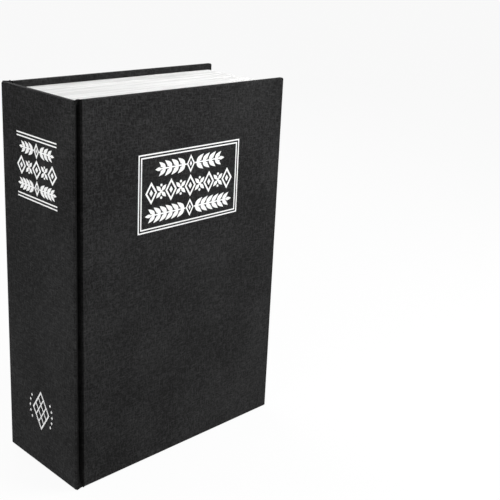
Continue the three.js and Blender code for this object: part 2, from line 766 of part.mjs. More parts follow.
function lockBody() {
  const bore = PLUG_RADIUS + LOCK_GAP;
  const form = turned([
    [bore, -LOCK_HEAD],
    [LOCK_HEAD_RADIUS - LOCK_CHAMFER, -LOCK_HEAD],
    [LOCK_HEAD_RADIUS, LOCK_CHAMFER - LOCK_HEAD],
    [LOCK_HEAD_RADIUS, 0],
    [BARREL_RADIUS, 0],
    [BARREL_RADIUS, BARREL_LENGTH],
    [bore, BARREL_LENGTH],
  ], 'y');
  const reach = 2 * BARREL_RADIUS;
  const flats = block(BARREL_FLAT, reach, 0, BARREL_LENGTH + OVERRUN, -reach, reach)
    .add(block(-reach, -BARREL_FLAT, 0, BARREL_LENGTH + OVERRUN, -reach, reach));
  const half = STOP_TAB_ANGLE / 2 + STOP_TAB_PLAY;
  const notch = prismY(
    sector(PLUG_RADIUS / 2, BARREL_RADIUS + OVERRUN, STOP_TAB_REST - half, STOP_TAB_REST + LOCK_TURN + half),
    BARREL_LENGTH - NOTCH_DEPTH, BARREL_LENGTH + OVERRUN, ROLL_STEPS,
  );
  return form.subtract(flats).subtract(notch);
}

function toothWasher() {
  const points = [];
  const steps = TOOTH_STEPS * TEETH;
  for (let step = 0; step < steps; step += 1) {
    const angle = -2 * Math.PI * step / steps;
    const radius = step % TOOTH_STEPS < TOOTH_STEPS / 2 ? TOOTH_TIP_RADIUS : TOOTH_ROOT_RADIUS;
    points.push([radius * Math.sin(angle), radius * Math.cos(angle)]);
  }
  return prismY(outline(points), SHEET, nutFront)
    .subtract(rod(BARREL_RADIUS + LOCK_GAP, SHEET - OVERRUN, nutFront + OVERRUN, 'y'));
}

// A hexagonal bar whose far end has turned corners
function hexBar(flat, y0, y1, chamfer) {
  const reach = flat / Math.cos(Math.PI / HEX);
  const turnedForm = turned([
    [0, y0], [reach, y0], [reach, y1 - chamfer], [flat, y1], [0, y1],
  ], 'y');
  return prismY(hexagon(flat), y0, y1).intersect(turnedForm);
}

function lockNut() {
  return hexBar(NUT_FLAT, nutFront, nutFront + NUT, NUT_CHAMFER)
    .subtract(rod(BARREL_RADIUS + LOCK_GAP, nutFront - OVERRUN, nutFront + NUT + OVERRUN, 'y'));
}

function lockPlug() {
  const face = PLUG_RECESS - LOCK_HEAD;
  const tailEnd = camBack - LOCK_GAP;
  const keyway = block(
    -BLADE_THICKNESS / 2 - KEYWAY_GAP, BLADE_THICKNESS / 2 + KEYWAY_GAP,
    face - OVERRUN, BARREL_LENGTH - KEYWAY_STOP,
    -BLADE_WIDTH / 2 - KEYWAY_GAP, BLADE_WIDTH / 2 + KEYWAY_GAP,
  );
  const screwHole = rod(
    SCREW_RADIUS + LOCK_GAP, tailEnd - SCREW_LENGTH - LOCK_GAP, tailEnd + OVERRUN, 'y', SMALL_STEPS,
  );
  return turned([
    [0, face], [PLUG_RADIUS - PLUG_CHAMFER, face], [PLUG_RADIUS, face + PLUG_CHAMFER],
    [PLUG_RADIUS, BARREL_LENGTH], [0, BARREL_LENGTH],
  ], 'y')
    .add(flattened(TAIL_RADIUS, TAIL_FLAT, BARREL_LENGTH - OVERRUN, tailEnd))
    .subtract(keyway)
    .subtract(screwHole);
}

function tailHole(y0, y1) {
  return flattened(TAIL_RADIUS + LOCK_GAP, TAIL_FLAT + LOCK_GAP, y0 - OVERRUN, y1 + OVERRUN);
}

// The washer whose tab runs in the barrel's notch and stops the plug at both ends
function camStopWasher() {
  const stopBack = stopFront + STOP_WASHER;
  const tab = sector(
    PLUG_RADIUS + STOP_TAB_GAP, STOP_TAB_RADIUS,
    STOP_TAB_REST - STOP_TAB_ANGLE / 2, STOP_TAB_REST + STOP_TAB_ANGLE / 2,
  );
  return rod(STOP_WASHER_RADIUS, stopFront, stopBack, 'y')
    .add(prismY(tab, BARREL_LENGTH - NOTCH_DEPTH + FIT_GAP, stopBack))
    .subtract(tailHole(stopFront, stopBack));
}

// The cam seen from its edge: a hub plate, a step toward the door, and the locking tip
function camEdge() {
  const outerBend = CAM_BEND + CAM_SHEET;
  const tipBack = camBack - CAM_OFFSET;
  const tipFront = tipBack - CAM_SHEET;
  const stepLow = CAM_STEP - CAM_SHEET / 2;
  const stepHigh = CAM_STEP + CAM_SHEET / 2;
  const shape = new THREE.Shape();
  shape.moveTo(camFront, -CAM_TAIL);
  shape.lineTo(camBack, -CAM_TAIL);
  shape.absarc(camBack - outerBend, stepHigh - outerBend, outerBend, 0, QUARTER, false);
  shape.absarc(tipBack + CAM_BEND, stepHigh + CAM_BEND, CAM_BEND, 3 * QUARTER, 2 * QUARTER, true);
  shape.lineTo(tipBack, CAM_REACH);
  shape.lineTo(tipFront, CAM_REACH);
  shape.absarc(tipFront + outerBend, stepLow + outerBend, outerBend, 2 * QUARTER, 3 * QUARTER, false);
  shape.absarc(camFront - CAM_BEND, stepLow - CAM_BEND, CAM_BEND, QUARTER, 0, true);
  return shape;
}

function lockCam() {
  const half = CAM_WIDTH / 2;
  const face = rectangle(
    -half, half, -CAM_TAIL, CAM_REACH, [CAM_TAIL_ROUND, CAM_TAIL_ROUND, CAM_TIP_ROUND, CAM_TIP_ROUND],
  );
  const frontY = camFront - CAM_OFFSET - OVERRUN;
  return prismX(camEdge(), -half, half)
    .intersect(prismY(face, frontY, camBack + OVERRUN, ROLL_STEPS))
    .subtract(tailHole(camFront, camBack));
}

function camSpringWasher() {
  const end = camBack + SPRING_WASHER;
  return turned([
    [SCREW_RADIUS + LOCK_GAP, camBack],
    [SPRING_WASHER_RADIUS, camBack],
    [SPRING_WASHER_RADIUS, end],
    [SCREW_RADIUS + LOCK_GAP, end],
  ], 'y', SMALL_STEPS).subtract(block(
    0, SPRING_WASHER_RADIUS + OVERRUN, camBack - OVERRUN, end + OVERRUN,
    -SPRING_WASHER_SLIT / 2, SPRING_WASHER_SLIT / 2,
  ));
}

function camScrew() {
  const seat = camBack + SPRING_WASHER;
  return hexBar(SCREW_FLAT, seat, seat + SCREW_HEAD, SCREW_CHAMFER)
    .add(rod(SCREW_RADIUS, camBack - LOCK_GAP - SCREW_LENGTH, seat + SCREW_HEAD / 2, 'y', SMALL_STEPS));
}

function lock() {
  const group = new THREE.Group();
  group.position.set(lockX, doorFront, lockZ);
  group.add(
    piece('lock_body', lockBody(), nickel),
    piece('lock_tooth_washer', toothWasher(), zinc),
    piece('lock_nut', lockNut(), nickel),
    piece('lock_plug', lockPlug(), nickel),
    piece('cam_stop_washer', camStopWasher(), zinc),
    piece('lock_cam', lockCam(), zinc),
    piece('cam_spring_washer', camSpringWasher(), zinc),
    piece('cam_screw', camScrew(), zinc),
  );
  return group;
}

// A key stands on its long edge. X runs from the slot in its bow to the blade's tip, and
// the origin is the middle of the slot. Each key fills its half of the room, from the ring
// to a gap at the wall, so the blade is as long as the bow and the ring leave it.
const bowStart = -SLOT_INSET - SLOT_WIDTH / 2;
const bowEnd = bowStart + BOW_LENGTH;
const slotLength = BOW_WIDTH - 2 * SLOT_END_MARGIN;
const keyEnd = (roomRight - roomLeft) / 2 - KEY_END_GAP - RING_RADIUS;
const bladeLength = keyEnd - bowEnd;
const bitStart = bowEnd + BIT_START_SHARE * bladeLength;
const bitPitch = BIT_PITCH_SHARE * bladeLength;
const bitFlat = BIT_FLAT_SHARE * bladeLength;

// One edge of the blade, from the bow to the tip: cuts of several depths, then a point
function bladeEdge() {
  const half = BLADE_WIDTH / 2;
  const points = [[bowEnd, half]];
  BIT_DEPTH_SHARES.forEach((share, cut) => {
    const start = bitStart + cut * bitPitch;
    const middle = start + bitPitch / 2;
    const depth = share * BIT_DEPTH;
    points.push([start, half]);
    points.push([middle - bitFlat / 2, half - depth]);
    points.push([middle + bitFlat / 2, half - depth]);
  });
  points.push([bitStart + BIT_DEPTH_SHARES.length * bitPitch, half]);
  points.push([keyEnd - BLADE_POINT_SHARE * bladeLength, half]);
  points.push([keyEnd, BLADE_TIP_WIDTH / 2]);
  return points;
}

function keyBlade() {
  const edge = bladeEdge();
  const mirrored = edge.map(([x, z]) => [x, -z]).reverse();
  const half = BLADE_THICKNESS / 2;
  const groove = block(
    bowEnd, keyEnd + OVERRUN, half - MILL_DEPTH, half + OVERRUN, -MILL_WIDTH / 2, MILL_WIDTH / 2,
  );
  const tang = block(bowEnd - TANG_LENGTH, bowEnd + MILL_WIDTH, -half, half, -TANG_WIDTH / 2, TANG_WIDTH / 2);
  return prismY(outline([...mirrored, ...edge]), -half, half)
    .subtract(groove)
    .subtract(groove.mirror([0, 1, 0]))
    .add(tang);
}

function bowShape() {
  const half = BOW_WIDTH / 2;
  const shape = rectangle(bowStart, bowEnd, -half, half, [BOW_LARGE_ROUND, BOW_ROUND, BOW_ROUND, BOW_ROUND]);
  const slotHalf = SLOT_WIDTH / 2;
  const straight = slotLength / 2 - slotHalf;
  const slot = new THREE.Path();
  slot.absarc(0, straight, slotHalf, 0, 2 * QUARTER, false);
  slot.absarc(0, -straight, slotHalf, 2 * QUARTER, 4 * QUARTER, false);
  slot.closePath();
  shape.holes.push(slot);
  return shape;
}

// The bow's moulded form, with its edges eased all round
function bowForm() {
  const geometry = new THREE.ExtrudeGeometry(bowShape(), {
    depth: BOW_THICKNESS - 2 * BOW_EDGE,
    bevelThickness: BOW_EDGE,
    bevelSize: BOW_EDGE,
    bevelOffset: -BOW_EDGE,
    bevelSegments: 2,
    curveSegments: BEND_STEPS,
  });
  geometry.rotateX(QUARTER);
  geometry.translate(0, BOW_THICKNESS / 2 - BOW_EDGE, 0);
  return solid(geometry);
}

function keyBow() {
  const half = BOW_THICKNESS / 2;
  const panelStart = SLOT_WIDTH / 2 + PANEL_SPACE;
  const panelHalf = BOW_WIDTH / 2 - PANEL_MARGIN;
  const panel = prismY(
    rectangle(
      panelStart, panelStart + PANEL_LENGTH, -panelHalf, panelHalf,
      [PANEL_ROUND, PANEL_ROUND, PANEL_ROUND, PANEL_ROUND],
    ),
    half - PANEL_DEPTH, half + OVERRUN,
  );
  const collar = block(
    bowEnd - COLLAR_LENGTH - COLLAR_GROOVE, bowEnd - COLLAR_LENGTH, half - PANEL_DEPTH, half + OVERRUN,
    -BOW_WIDTH, BOW_WIDTH,
  );
  const pocket = block(
    bowEnd - TANG_LENGTH - TANG_GAP, bowEnd + OVERRUN,
    -BLADE_THICKNESS / 2 - TANG_GAP, BLADE_THICKNESS / 2 + TANG_GAP,
    -TANG_WIDTH / 2 - TANG_GAP, TANG_WIDTH / 2 + TANG_GAP,
  );
  const faceCuts = panel.add(collar);
  return bowForm().subtract(faceCuts).subtract(faceCuts.mirror([0, 1, 0])).subtract(pocket);
}

const ringTurnSpace = 2 * RING_WIRE_RADIUS - RING_TURN_PRESS;

function keyRing() {
  const turn = solid(new THREE.TorusGeometry(RING_RADIUS, RING_WIRE_RADIUS, WIRE_STEPS, RING_STEPS));
  return turn.translate([0, 0, ringTurnSpace / 2]).add(turn.translate([0, 0, -ringTurnSpace / 2]));
}

// Both keys hang on the ring, which rests on the low ends of their slots
function keys() {
  const ringHalf = ringTurnSpace / 2 + RING_WIRE_RADIUS;
  const keyZ = roomBottom + FLOOR_GAP + BOW_WIDTH / 2;
  const ringZ = keyZ - slotLength / 2 + RING_PLAY + ringHalf;
  const swing = THREE.MathUtils.degToRad(KEY_SWING);
  const group = new THREE.Group();
  group.position.set((roomLeft + roomRight) / 2, pageFront + RING_DEPTH, ringZ);
  group.add(piece('key_ring', keyRing(), nickel));
  const places = [[-RING_RADIUS, 2 * QUARTER + swing], [RING_RADIUS, -swing]];
  places.forEach(([x, turn], place) => {
    const key = new THREE.Group();
    key.position.set(x, 0, keyZ - ringZ);
    key.rotation.z = turn;
    key.add(
      piece(`key_${place + 1}_blade`, keyBlade(), nickel),
      piece(`key_${place + 1}_bow`, keyBow(), plastic),
    );
    group.add(key);
  });
  return group;
}

function door() {
  const group = new THREE.Group();
  group.add(piece('door_pan', doorPan(), paint), lock());
  return group;
}

const book = new THREE.Group();
book.add(backCase(), compartment(), frontCover(), door(), keys());

export default book;
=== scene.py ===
import json
import math

import bmesh
import bpy
from mathutils import Matrix, Vector, noise

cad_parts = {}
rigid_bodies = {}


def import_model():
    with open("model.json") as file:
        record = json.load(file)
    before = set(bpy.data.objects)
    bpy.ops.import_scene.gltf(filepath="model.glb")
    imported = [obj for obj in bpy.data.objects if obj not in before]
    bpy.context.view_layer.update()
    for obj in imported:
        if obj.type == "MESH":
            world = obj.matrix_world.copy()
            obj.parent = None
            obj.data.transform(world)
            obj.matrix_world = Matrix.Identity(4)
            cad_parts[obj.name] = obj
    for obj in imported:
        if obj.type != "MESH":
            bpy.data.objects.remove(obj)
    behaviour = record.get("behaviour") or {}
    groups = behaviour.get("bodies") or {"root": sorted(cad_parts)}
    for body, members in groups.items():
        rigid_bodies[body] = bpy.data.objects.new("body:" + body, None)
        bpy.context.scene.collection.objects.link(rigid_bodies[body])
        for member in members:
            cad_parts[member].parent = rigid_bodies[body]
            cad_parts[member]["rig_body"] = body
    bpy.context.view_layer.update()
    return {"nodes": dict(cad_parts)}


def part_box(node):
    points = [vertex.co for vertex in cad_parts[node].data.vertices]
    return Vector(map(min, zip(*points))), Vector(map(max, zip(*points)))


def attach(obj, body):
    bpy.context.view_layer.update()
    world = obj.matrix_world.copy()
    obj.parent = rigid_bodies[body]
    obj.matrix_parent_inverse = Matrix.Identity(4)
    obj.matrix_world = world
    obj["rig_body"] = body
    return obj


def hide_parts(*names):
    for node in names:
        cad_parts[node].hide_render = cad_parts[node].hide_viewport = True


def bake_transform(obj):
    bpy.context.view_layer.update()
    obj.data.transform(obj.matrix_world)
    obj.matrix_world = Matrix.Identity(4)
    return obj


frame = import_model()

# A closed book safe on a pale floor. Lengths below are in millimetres and are turned into
# metres where they are used. X runs from the spine to the fore-edge, Y from the front cover
# to the back cover, and Z up.
MM = 0.001

# Camera, fitted to the photo: the lens in pixels, the shift as a share of the frame and the
# place in metres
FOCAL_PIXELS = 929.5
FRAME_PIXELS = 500
SENSOR = 36
LENS_SHIFT = -0.08
CAMERA_PLACE = (-0.27423, -0.33675, 0.25021)
CAMERA_FORWARD = (0.68456, 0.66821, -0.29133)
CAMERA_RIGHT = (0.70794, -0.70469, 0.04718)

# Cloth, hems and joints
CLOTH = 0.3
TURN_IN = 12
EDGE_ROUND = 0.8
CREASE = 0.35
CREASE_DEPTH = 0.12
AT_CORNER = 0.01
FOLD = 0.4
FOLD_REACH = 3.2
FOLD_RISE = 0.25
FOOT_REACH = 7
FOOT_HOLLOW = 0.1
HEAD_HOLLOW = 0.35
GROOVE_DEPTH = 2
GROOVE_ROUND = 0.6
PAPER = 0.2
PAPER_TURN = 1.8
HEM_RISE = 1.2

# Unevenness of each surface: how far it moves, then the length of its waves
CLOTH_RIPPLE = (0.05, 9)
GROOVE_RIPPLE = (0.1, 7)
PAPER_RIPPLE = (0.03, 14)
LEAF_RIPPLE = (0.22, 16)

# Mesh building: steps of a round, a large face's area in square metres, distances for
# joining points, and the angles in degrees beyond which an edge stays crisp
EDGE_STEPS = 5
BEND_STEPS = 6
CORNER_STEPS = 4
DOME_STEPS = 8
ROUND_STEPS = 72
RIVET_STEPS = 48
LARGE_FACE = 0.001
MERGE = 0.005
SOLID_MERGE = 0.001
ROUND_MERGE = 0.0005
SOFT_DEGREES = 32
PAGE_DEGREES = 20
ROUND_DEGREES = 40

# Lock, about its own axis: depths count from the door's front face into the compartment.
# Rings are (radius, depth) in the head's face, and chamfers are (width, depth)
LOCK_HEAD_RADIUS = 8
LOCK_HEAD = 2
HEAD_EASE = 0.5
HEAD_EDGE = 0.12
HEAD_RINGS = [(5.9, 0), (6.1, 0.14), (6.35, 0.14), (6.55, 0), (7.3, 0), (7.75, 0.16)]
BORE_CHAMFER = (0.2, 0.25)
BARREL_RADIUS = 6
BARREL_FLAT = 5
FLAT_START = 0.01
BARREL_LENGTH = 18.8
BARREL_CHAMFER = (0.2, 0.5)
PLUG_RADIUS = 4.2
PLUG_RECESS = 0.3
PLUG_EDGE = [(0.35, 0), (0.08, 0.1), (0, 0.35)]
LOCK_GAP = 0.1
KEYWAY = (1.0, 3.1)
KEYWAY_END = 17.3
THREAD_PITCH = 0.8
THREAD_DEPTH = 0.22
THREAD_START = 0.6
THREAD_CREST = (0.4, 0.55)
TAIL_RADIUS = 3.4
TAIL_FLAT = 2.4
TAIL_EDGE = 0.15
STOP_NOTCH_DEPTH = 2
STOP_NOTCH_Z = (1.2, 9)
# Each box of the stop notch: its left and right sides, and its turn in degrees
STOP_NOTCHES = [(0, 8, -45), (-4.6, 4.6, 0)]
CUT_CLEAR = 1

# Rivets, and the key ring with the share of its turns that the wire runs, and its climb to
# the next turn as (start, length) shares
RIVET_RADIUS = 1.5
RIVET_HEAD = 1
RIVET_HEAD_RADIUS = 2.9
RIVET_TAIL = 0.5
RIVET_TAIL_RADIUS = 2.5
RING_WIRE = 0.46
RING_ROOM = 0.6
RING_TURNS = 2
RING_SHARE = 0.985
RING_CLIMB = (0.42, 0.16)

# Stamped foil on the front cover and the spine. Beads are (width, height)
FOIL = 0.06
FOIL_PROUD = 0.03
FOIL_LEVEL = 0.008
RULE = 0.62
RULE_SPACE = 1.4
STROKE = 0.9
FINE_STROKE = 0.72
MITRE_LIMIT = 0.4
LABEL_X = (-28.2, 32.8)
LABEL_Z = (116.4, 152.9)
SPINE_RULE_Y = 15.4
SPINE_RULES_Z = (160.0, 131.0)
SPINE_RULE_SPACE = 1.5
EMBLEM_PLACE = (-0.4, 29)
EMBLEM_HALVES = (8.6, 9.4)
BEAD = (1.25, 1.7)
BEADS_OUT = 1.06
BEAD_DEGREES = (-34, -17, 0, 17, 34)


def add_object(name, data):
    added = bpy.data.objects.new(name, data)
    bpy.context.scene.collection.objects.link(added)
    return added


def make_camera():
    camera = add_object("camera", bpy.data.cameras.new("camera"))
    forward = Vector(CAMERA_FORWARD).normalized()
    right = Vector(CAMERA_RIGHT)
    right = (right - right.dot(forward) * forward).normalized()
    up = right.cross(forward)
    turn = Matrix((right, up, -forward)).transposed().to_4x4()
    camera.matrix_world = Matrix.Translation(CAMERA_PLACE) @ turn
    camera.data.sensor_width = SENSOR
    camera.data.lens = FOCAL_PIXELS / FRAME_PIXELS * SENSOR
    camera.data.shift_y = LENS_SHIFT
    camera.data.clip_start = 0.01
    bpy.context.scene.camera = camera


# Sockets of a mix node that mixes colours
MIX_FACTOR = 0
MIX_FIRST = 6
MIX_SECOND = 7
MIX_RESULT = 2


class Shader:
    """One material's nodes, with short calls for those used here."""

    def __init__(self, name, colour, roughness, metallic=0.0):
        self.material = bpy.data.materials.new(name)
        self.material.use_nodes = True
        self.nodes = self.material.node_tree.nodes
        self.links = self.material.node_tree.links
        self.bsdf = self.nodes["Principled BSDF"]
        self.bsdf.inputs["Base Color"].default_value = (*colour, 1)
        self.bsdf.inputs["Roughness"].default_value = roughness
        self.bsdf.inputs["Metallic"].default_value = metallic
        self.place = self.nodes.new("ShaderNodeTexCoord").outputs["Object"]

    def put(self, socket, value):
        if isinstance(value, bpy.types.NodeSocket):
            self.links.new(value, socket)
        elif value is not None:
            socket.default_value = value

    def math(self, operation, first, second=None):
        node = self.nodes.new("ShaderNodeMath")
        node.operation = operation
        self.put(node.inputs[0], first)
        self.put(node.inputs[1], second)
        return node.outputs[0]

    def axes(self):
        node = self.nodes.new("ShaderNodeSeparateXYZ")
        self.put(node.inputs[0], self.place)
        return node.outputs

    def vector(self, x, y, z):
        node = self.nodes.new("ShaderNodeCombineXYZ")
        for socket, value in zip(node.inputs, (x, y, z)):
            self.put(socket, value)
        return node.outputs[0]

    def noise(self, size, detail=2.0, place=None, stretch=(1, 1, 1)):
        """Noise whose grains are about `size` millimetres, stretched along the axes."""
        mapping = self.nodes.new("ShaderNodeMapping")
        self.put(mapping.inputs["Vector"], place or self.place)
        mapping.inputs["Scale"].default_value = [1 / (size * MM * share) for share in stretch]
        node = self.nodes.new("ShaderNodeTexNoise")
        self.put(node.inputs["Vector"], mapping.outputs[0])
        node.inputs["Scale"].default_value = 1
        node.inputs["Detail"].default_value = detail
        return node.outputs["Fac"]

    def span(self, value, low, high, start=0.0, end=1.0):
        node = self.nodes.new("ShaderNodeMapRange")
        node.interpolation_type = "SMOOTHSTEP"
        for socket, number in zip(node.inputs, (value, low, high, start, end)):
            self.put(socket, number)
        return node.outputs[0]

    def mix(self, factor, first, second):
        node = self.nodes.new("ShaderNodeMix")
        node.data_type = "RGBA"
        self.put(node.inputs[MIX_FACTOR], factor)
        for number, value in ((MIX_FIRST, first), (MIX_SECOND, second)):
            is_socket = isinstance(value, bpy.types.NodeSocket)
            self.put(node.inputs[number], value if is_socket else (*value, 1))
        return node.outputs[MIX_RESULT]

    def bump(self, height, distance, strength=1.0):
        """Bump `distance` millimetres high."""
        node = self.nodes.new("ShaderNodeBump")
        node.inputs["Distance"].default_value = distance * MM
        node.inputs["Strength"].default_value = strength
        self.put(node.inputs["Height"], height)
        self.put(self.bsdf.inputs["Normal"], node.outputs[0])

    def colour(self, value):
        self.put(self.bsdf.inputs["Base Color"], value)

    def roughness(self, value):
        self.put(self.bsdf.inputs["Roughness"], value)


# Cloth: the spacing of the threads and the size of their slubs
THREAD = 0.42
SLUB = 0.72


def bookcloth(name="bookcloth", depth=1.0):
    """Linen-grain cloth: crossing threads, each with thick and thin stretches. `depth` is the
    share of its tone, gloss and sheen that is kept: below 1 it is painted shade, a darker cloth that stands
    for shadow."""
    shader = Shader(name, (0.012, 0.012, 0.0125), 0.8)
    x, y, z = shader.axes()
    across = shader.math("ADD", x, y)
    place = shader.vector(across, 0.0, z)
    turn = 2 * math.pi / (THREAD * MM)
    warp = shader.math("SINE", shader.math("MULTIPLY", across, turn))
    weft = shader.math("SINE", shader.math("MULTIPLY", z, turn))
    warp_slub = shader.noise(SLUB, 3, place, (1, 1, 5))
    weft_slub = shader.noise(SLUB, 3, place, (5, 1, 1))
    cloud = shader.noise(30, 3)
    grit = shader.noise(SLUB * 0.9, 2)
    grid = shader.math("MULTIPLY", warp, weft)
    slubs = shader.math("MAXIMUM", warp_slub, weft_slub)
    threads = shader.math("ADD", shader.math("MULTIPLY", grid, 0.14), slubs)
    raised = shader.span(slubs, 0.45, 0.76, 0.0, 0.55)
    shade = shader.math("ADD", raised, shader.span(grit, 0.25, 0.8, -0.12, 0.46))
    shade = shader.math("ADD", shade, shader.span(cloud, 0.3, 0.7, -0.11, 0.13))
    dark, pale = (0.003, 0.003, 0.0031), (0.033, 0.033, 0.0335)
    # The tone is scaled by depth: below 1 this is painted shade.
    shader.colour(shader.mix(shade, [part * depth for part in dark], [part * depth for part in pale]))
    shader.roughness(shader.span(slubs, 0.4, 0.8, 0.88, 0.7))
    shader.bump(threads, 0.09, 0.9)
    # Gloss and sheen are scaled by depth too: below 1 this is painted shade.
    shader.bsdf.inputs["Specular IOR Level"].default_value = 0.14 * depth
    shader.bsdf.inputs["Sheen Weight"].default_value = 0.03 * depth
    shader.bsdf.inputs["Sheen Roughness"].default_value = 0.5
    return shader.material


def board():
    shader = Shader("board", (0.36, 0.32, 0.26), 0.95)
    fibre = shader.noise(0.8, 5, stretch=(3, 3, 1))
    shader.colour(shader.mix(fibre, (0.28, 0.245, 0.2), (0.44, 0.4, 0.33)))
    shader.bump(fibre, 0.06)
    return shader.material


def paper():
    """Smooth white endpaper with faint fibres."""
    shader = Shader("paper", (0.88, 0.88, 0.86), 0.75)
    fibre = shader.noise(0.5, 4, stretch=(1, 1, 3))
    cloud = shader.noise(14, 2)
    tone = shader.math("ADD", shader.math("MULTIPLY", fibre, 0.5), shader.math("MULTIPLY", cloud, 0.5))
    shader.colour(shader.mix(tone, (0.84, 0.84, 0.82), (0.9, 0.9, 0.885)))
    shader.bump(fibre, 0.02, 0.6)
    return shader.material


def page_edges():
    """The cut edges of the leaves: fine lines along the leaves, some a little darker."""
    shader = Shader("page_edges", (0.85, 0.85, 0.83), 0.85)
    leaf = shader.noise(0.12, 1, stretch=(400, 1, 400))
    sheaf = shader.noise(1.3, 2, stretch=(60, 1, 60))
    stain = shader.noise(18, 3)
    tone = shader.math("ADD", shader.span(leaf, 0.35, 0.7, 0, 0.5), shader.span(sheaf, 0.35, 0.65, 0, 0.5))
    pale = shader.mix(tone, (0.84, 0.84, 0.835), (0.56, 0.56, 0.555))
    shader.colour(shader.mix(shader.span(stain, 0.5, 0.8, 0, 0.2), pale, (0.76, 0.755, 0.74)))
    shader.bump(leaf, 0.05, 0.8)
    return shader.material


def black_paint():
    """Powder coat with a pebbled surface."""
    shader = Shader("black_paint", (0.014, 0.014, 0.015), 0.42)
    pebble = shader.noise(0.75, 2)
    fine = shader.noise(0.25, 2)
    cloud = shader.noise(14, 2)
    relief = shader.math("ADD", shader.span(pebble, 0.35, 0.7), shader.math("MULTIPLY", fine, 0.25))
    shader.colour(shader.mix(cloud, (0.011, 0.011, 0.012), (0.02, 0.02, 0.021)))
    shader.roughness(shader.span(pebble, 0.3, 0.7, 0.34, 0.52))
    shader.bump(relief, 0.06)
    return shader.material


def hard(name, dark, pale, grain, cloud, gloss, relief, metallic=0.0):
    """A hard surface of clouded colour, with a fine grain in its gloss and relief."""
    shader = Shader(name, dark, gloss[-1], metallic)
    texture = shader.noise(*grain)
    shader.colour(shader.mix(shader.noise(*cloud), dark, pale))
    shader.roughness(shader.span(texture, *gloss))
    shader.bump(texture, *relief)
    return shader.material


def foil():
    """Stamping foil: it takes up a little of the cloth's grain."""
    shader = Shader("foil", (0.86, 0.86, 0.85), 0.38, 0.1)
    grain = shader.noise(THREAD, 3)
    shader.colour(shader.mix(shader.span(grain, 0.3, 0.7), (0.88, 0.88, 0.875), (0.97, 0.97, 0.965)))
    shader.roughness(shader.span(grain, 0.3, 0.7, 0.32, 0.5))
    shader.bump(grain, 0.02, 0.6)
    return shader.material


materials = {
    "bookcloth": bookcloth(),
    # The groove's cloth at 0.4 of the tone, gloss and sheen: painted shade for the shadow deep in the
    # groove.
    "joint_cloth": bookcloth("joint_cloth", 0.4),
    "board": board(),
    "paper": paper(),
    "page_edges": page_edges(),
    "black_paint": black_paint(),
    "nickel": hard(
        "nickel", (0.66, 0.65, 0.62), (0.78, 0.77, 0.74), (0.25, 3, None, (1, 1, 18)), (5, 3),
        (0.35, 0.75, 0.18, 0.32), (0.002, 0.4), 1.0,
    ),
    "zinc": hard(
        "zinc", (0.5, 0.5, 0.515), (0.66, 0.66, 0.665), (0.4, 4), (4, 3),
        (0.3, 0.7, 0.3, 0.48), (0.012, 0.5), 1.0,
    ),
    "black_plastic": hard(
        "black_plastic", (0.01, 0.01, 0.011), (0.018, 0.018, 0.019), (0.18, 2), (6, 2),
        (0.3, 0.7, 0.32, 0.46), (0.015, 0.6),
    ),
    "foil": foil(),
}


def shade_by_angle(mesh, degrees):
    """Smooth faces, with the edges that turn more than this left crisp."""
    form = bmesh.new()
    form.from_mesh(mesh)
    for face in form.faces:
        face.smooth = True
    for edge in form.edges:
        edge.smooth = not (edge.is_manifold and edge.calc_face_angle(0) > math.radians(degrees))
    form.to_mesh(mesh)
    form.free()


def add_piece(name, form, material, degrees=SOFT_DEGREES):
    """Turns a bmesh into an object in the shared frame, in metres."""
    mesh = bpy.data.meshes.new(name)
    form.to_mesh(mesh)
    form.free()
    mesh.materials.append(materials[material])
    shade_by_angle(mesh, degrees)
    return add_object(name, mesh)


def finish_piece(piece, slot, body, *nodes):
    if body:
        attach(piece, body)
    if nodes:
        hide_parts(*nodes)


def apply_modifiers(piece, degrees=SOFT_DEGREES):
    depsgraph = bpy.context.evaluated_depsgraph_get()
    mesh = bpy.data.meshes.new_from_object(piece.evaluated_get(depsgraph))
    piece.modifiers.clear()
    piece.data = mesh
    shade_by_angle(mesh, degrees)


def thicken(piece, thickness):
    """Makes a sheet `thickness` millimetres thick, away from its normals."""
    modifier = piece.modifiers.new("thickness", "SOLIDIFY")
    modifier.thickness = thickness * MM
    modifier.offset = -1
    apply_modifiers(piece)
    return piece


def turn_normals(form, wrong_way=None):
    """Makes the normals agree, and reverses them if `wrong_way()` finds them turned in."""
    bmesh.ops.recalc_face_normals(form, faces=form.faces)
    if wrong_way and wrong_way():
        bmesh.ops.reverse_faces(form, faces=form.faces)


def strips(form, rows, closed=False):
    """Joins rows of vertices, each with the same count, by four-sided faces."""
    for first, second in zip(rows, rows[1:]):
        count = len(first)
        for place in range(count if closed else count - 1):
            following = (place + 1) % count
            form.faces.new((first[place], first[following], second[following], second[place]))


def box_of(node):
    """A node's two corners in millimetres."""
    low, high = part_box(node)
    return low / MM, high / MM


cover_face = box_of("front_cover_cloth")[0].y
spine_face = box_of("case_cloth")[0].x


def ripple(point, amount, size):
    """A slow, repeatable unevenness, within `amount` millimetres."""
    return amount * noise.noise(Vector(point) / size)


def eased(share):
    """A share from 0 to 1, made to start and end gently."""
    return share * share * (3 - 2 * share)


def quarter_turn(steps, first=0):
    return [math.pi / 2 * step / steps for step in range(first, steps + 1)]


def edge_profile(thickness):
    """(distance in from the edge, depth) from the outer face, round the edge, to the hem."""
    quarter = quarter_turn(EDGE_STEPS)
    around = [(EDGE_ROUND * (1 - math.sin(a)), EDGE_ROUND * (1 - math.cos(a))) for a in quarter]
    back = [(inset, thickness - depth) for inset, depth in reversed(around)]
    insets = (TURN_IN, TURN_IN / 2, 2 * EDGE_ROUND)
    flat = [(inset, 0) for inset in insets]
    hem = [(inset, thickness) for inset in reversed(insets)]
    return flat + around + back + hem


